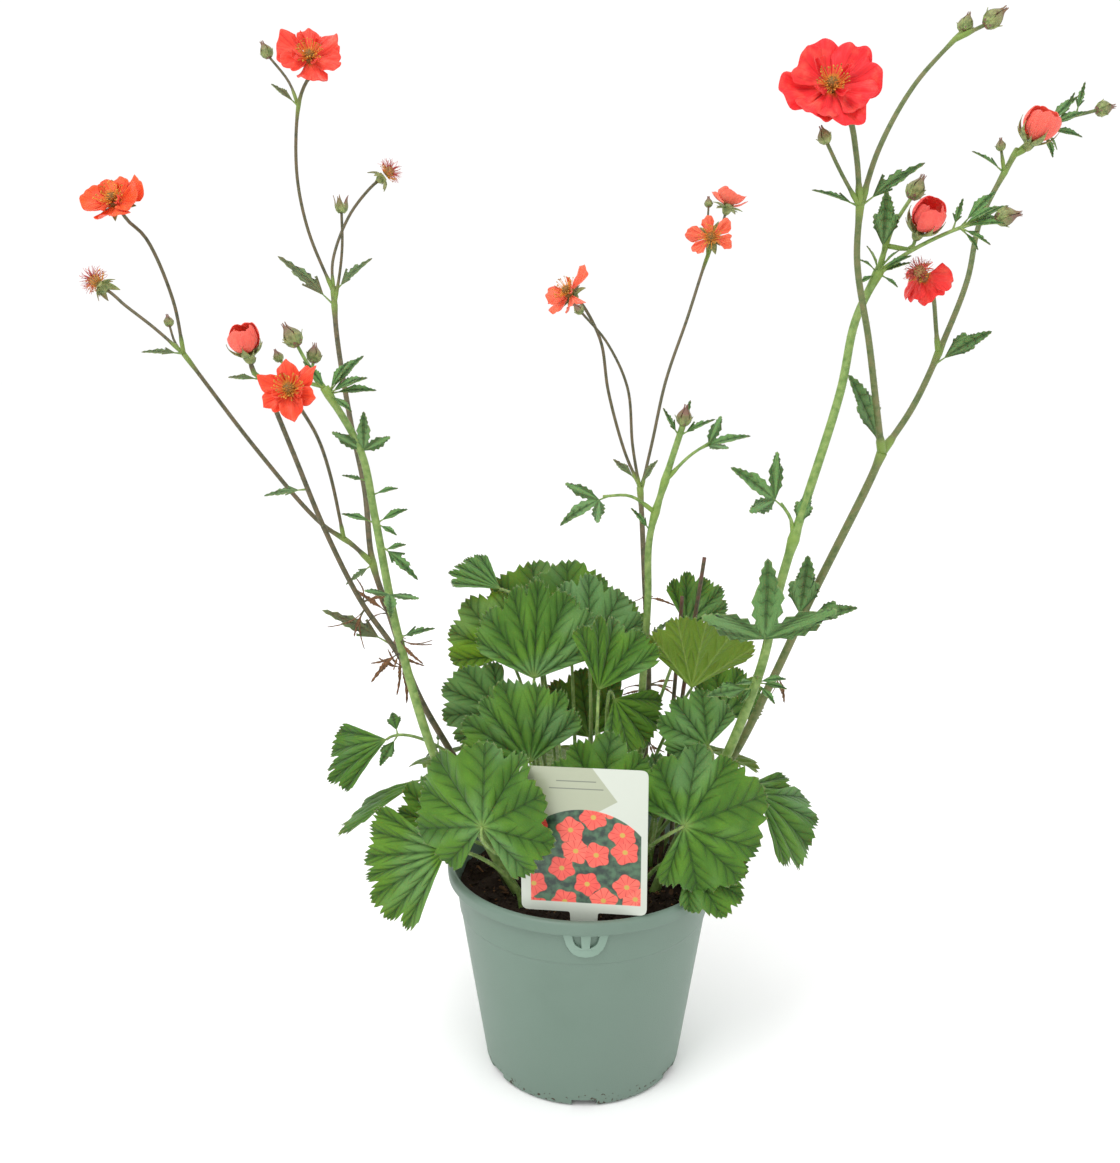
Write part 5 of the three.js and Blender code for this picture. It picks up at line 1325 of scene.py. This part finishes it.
petal_finish, inputs, place = finish("petal", 0.55, Subsurface_Weight=0.25, Subsurface_Scale=0.002,
                                     Specular_IOR_Level=0.3, Sheen_Weight=0.1, Sheen_Roughness=0.4)
across, share, own = place.read("mark")
scarlet, faded, under = place.read("tone")
flow = place.node("ShaderNodeCombineXYZ", {}, {0: across * 2.2, 1: share * 0.8, 2: own})
line = flow.noise(1.3, 2)
cloud = place.noise(140)
colour = scarlet.blend(paint(240, 96, 34), paint(232, 44, 50))
colour = faded.blend(colour, paint(246, 134, 104))
colour = (0.6 * line.step(0.46, 0.68)).blend(colour, paint(196, 30, 34))
colour = (0.5 * cloud.step(0.45, 0.75)).blend(colour, paint(250, 106, 84))
colour = (share.step(0.3, 0.02) * 0.7).blend(colour, paint(244, 150, 50))
colour = (0.35 * under).blend(colour, paint(240, 118, 108))
colour = (share.step(0.95, 1.0) * cloud.step(0.5, 0.7) * 0.6).blend(colour, paint(150, 36, 44))
wire(inputs, Base_Color=colour, Roughness=0.45 + 0.2 * line, Normal=line.relief(0.0003))

stamen_finish, inputs, place = finish("stamens", 0.6)
anther, own, dark = place.read("tone")
grain = place.noise(1500, 2)
filament = own.blend(paint(214, 158, 52), paint(236, 130, 54))
dust = (0.6 * own + 0.4 * grain).blend(paint(228, 168, 56), paint(138, 82, 32))
skin = anther.step(0.4, 0.6).blend(filament, dust)
skin = dark.blend(skin, grain.blend(paint(84, 58, 22), paint(142, 108, 42)))
wire(inputs, Base_Color=skin, Roughness=0.5 + 0.2 * grain)

style_finish, inputs, place = finish("dry_styles", 0.6)
kind, own, _ = place.read("tone")
grain = place.noise(900, 2)
red = own.blend(paint(150, 44, 46), paint(206, 92, 78))
skin = kind.blend(grain.blend(paint(128, 112, 60), paint(168, 150, 84)), red)
wire(inputs, Base_Color=skin, Roughness=0.5 + 0.2 * grain)
bloom_finishes = [petal_finish, stamen_finish]
on_stamen = 1
disc_profile = np.array([(0, 0), (disc_radius - 0.6, 0), (disc_radius, 0.8),
                         (disc_radius, disc_height - 0.8), (disc_radius - 0.8, disc_height),
                         (0, disc_height)])

for number, (name, flower) in enumerate(flowers.items()):
    random = np.random.default_rng(300 + number)
    form = Form()
    place = flower_frame(flower["centre"], flower["axis"])
    count, length, arc, colour = (flower[key] for key in ("count", "length", "arc", "colour"))
    is_cup = arc > half_open
    half, point = flower.get("petal", (np.pi / count + (0.34 if is_cup else 0.24), 0))
    curls = cup_curls if is_cup else whorl_curls if arc > 0 else whorl_droops
    for i in range(count):
        if i in flower.get("missing", []):
            continue
        whorl = 2 if i == count - 1 and count % 2 == 1 else i % 2
        reach = length * (1.22 if is_cup else random.uniform(0.9, 1.06)) * (1 - 0.1 * whorl)
        middle = 2 * np.pi * i / count + random.uniform(-0.08, 0.08)
        petal(form, place, random, middle, half, reach, arc * curls[whorl], whorl_starts[whorl],
              0.02 if is_cup else 0.1, colour, crumple=1.2 if arc < 1 else 0.25,
              point=point * random.uniform(0.7, 1.1))
    if length >= 18 and 0 < arc < 1:
        for i in range(small_petals):
            middle = 2 * np.pi * (i + random.uniform(0.2, 0.7)) / small_petals
            petal(form, place, random, middle, random.uniform(0.25, 0.45),
                  length * random.uniform(0.45, 0.62), 1.2, disc_height - 0.6, 0.1, colour, 1.3)
    points, faces = turned(disc_profile, 20)
    form.add(set_in(place, points), faces, tone=(0, 0.3, 1), finish=on_stamen)
    if name in ("centre_high", "left_cup", "right_cup", "right_far"):
        stamens(form, place, random, 24, disc_height - 0.5, 5.5, (0.15, 0.6), finish=on_stamen)
    piece("petals_" + name, form, bloom_finishes, "petal", "bloom_" + name)
    if "centre_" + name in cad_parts:
        form = Form()
        dome = np.array([(0, 0), (2.4, 0), (3, 0.8), (2.6, 2.2), (1.5, 3.2), (0, 3.6)])
        points, faces = turned(dome + (0, disc_height + gap), 20)
        form.add(set_in(place, points), faces, tone=(0, 0, 1))
        styles(form, place, random, np.array([0, 0, disc_height + 1]), 2.6, 60, 2, 0.2, 0.2, 0.15, 0.4)
        stamens(form, place, random, 38, disc_height + gap, 6.6, (0.55, 1.25))
        piece("stamens_" + name, form, [stamen_finish], "stamen", "centre_" + name)


# The seed heads: a dome that bristles with dry red styles, each hooked at its tip, over a ring of spent
# stamens. The right one stands on the fading flower.
seed_radius = 3.4
heads = (("left", seed_heads["left"], 0), ("top", seed_heads["top"], 0),
         ("right", flowers["right_fading"], disc_height))
for number, (name, head, rise) in enumerate(heads):
    random = np.random.default_rng(400 + number)
    form = Form()
    place = flower_frame(head["centre"], head["axis"])
    middle = np.array([0, 0, rise + gap + 3.6])
    profile = np.array([(0, -1), (0.5, -0.87), (0.87, -0.5), (1, 0), (0.87, 0.5), (0.5, 0.87), (0, 1)])
    points, faces = turned(profile * seed_radius, 18)
    form.add(set_in(place, points + middle), faces, tone=(0.2, 0.5, 0))
    styles(form, place, random, middle, seed_radius, 80, 5.6, 0.22, 0.3, -0.35, 1)
    stamens(form, place, random, 22, rise + 1, 5, (0.9, 1.5), finish=on_stamen)
    piece("dry_styles_" + name, form, [style_finish, stamen_finish], "dry_style", "seed_head_" + name)


# The studio: a wide pale floor, a white surround and three soft lights. None of it belongs to the object.
floor_radius = 14
floor = bpy.data.objects.new("floor", bpy.data.meshes.new("floor"))
turn = np.linspace(0, 2 * np.pi, 64, endpoint=False)
ring = np.stack([floor_radius * np.cos(turn), floor_radius * np.sin(turn), 0 * turn], -1)
floor.data.from_pydata(ring.tolist(), [], [list(range(64))])
floor_finish, inputs, place = finish("pale_floor", 0.9)
wire(inputs, Base_Color=place.noise(2).blend(paint(252, 252, 252), paint(255, 255, 255)))
floor.data.materials.append(floor_finish)
bpy.context.scene.collection.objects.link(floor)

world = bpy.data.worlds.new("white_surround")
world.use_nodes = True
world.node_tree.nodes["Background"].inputs["Color"].default_value = (1, 1, 1, 1)
world.node_tree.nodes["Background"].inputs["Strength"].default_value = 1.03
bpy.context.scene.world = world
bpy.context.scene.view_settings.view_transform = "Standard"
for name, spot, size, power in (("key", (-0.9, -1.1, 2.1), 1.1, 24), ("fill", (1.5, -0.9, 1.1), 1.4, 3),
                                ("rim", (0.4, 1.6, 1.6), 1.2, 4)):
    lamp = bpy.data.lights.new(name, "AREA")
    lamp.size = size
    lamp.energy = power
    light = bpy.data.objects.new(name, lamp)
    light.location = spot
    aim = np.array([0, 0, 0.3]) - spot
    tilt = math.atan2(math.hypot(aim[0], aim[1]), -aim[2])
    light.rotation_euler = (tilt, 0, math.atan2(aim[0], -aim[1]) + np.pi)
    bpy.context.scene.collection.objects.link(light)
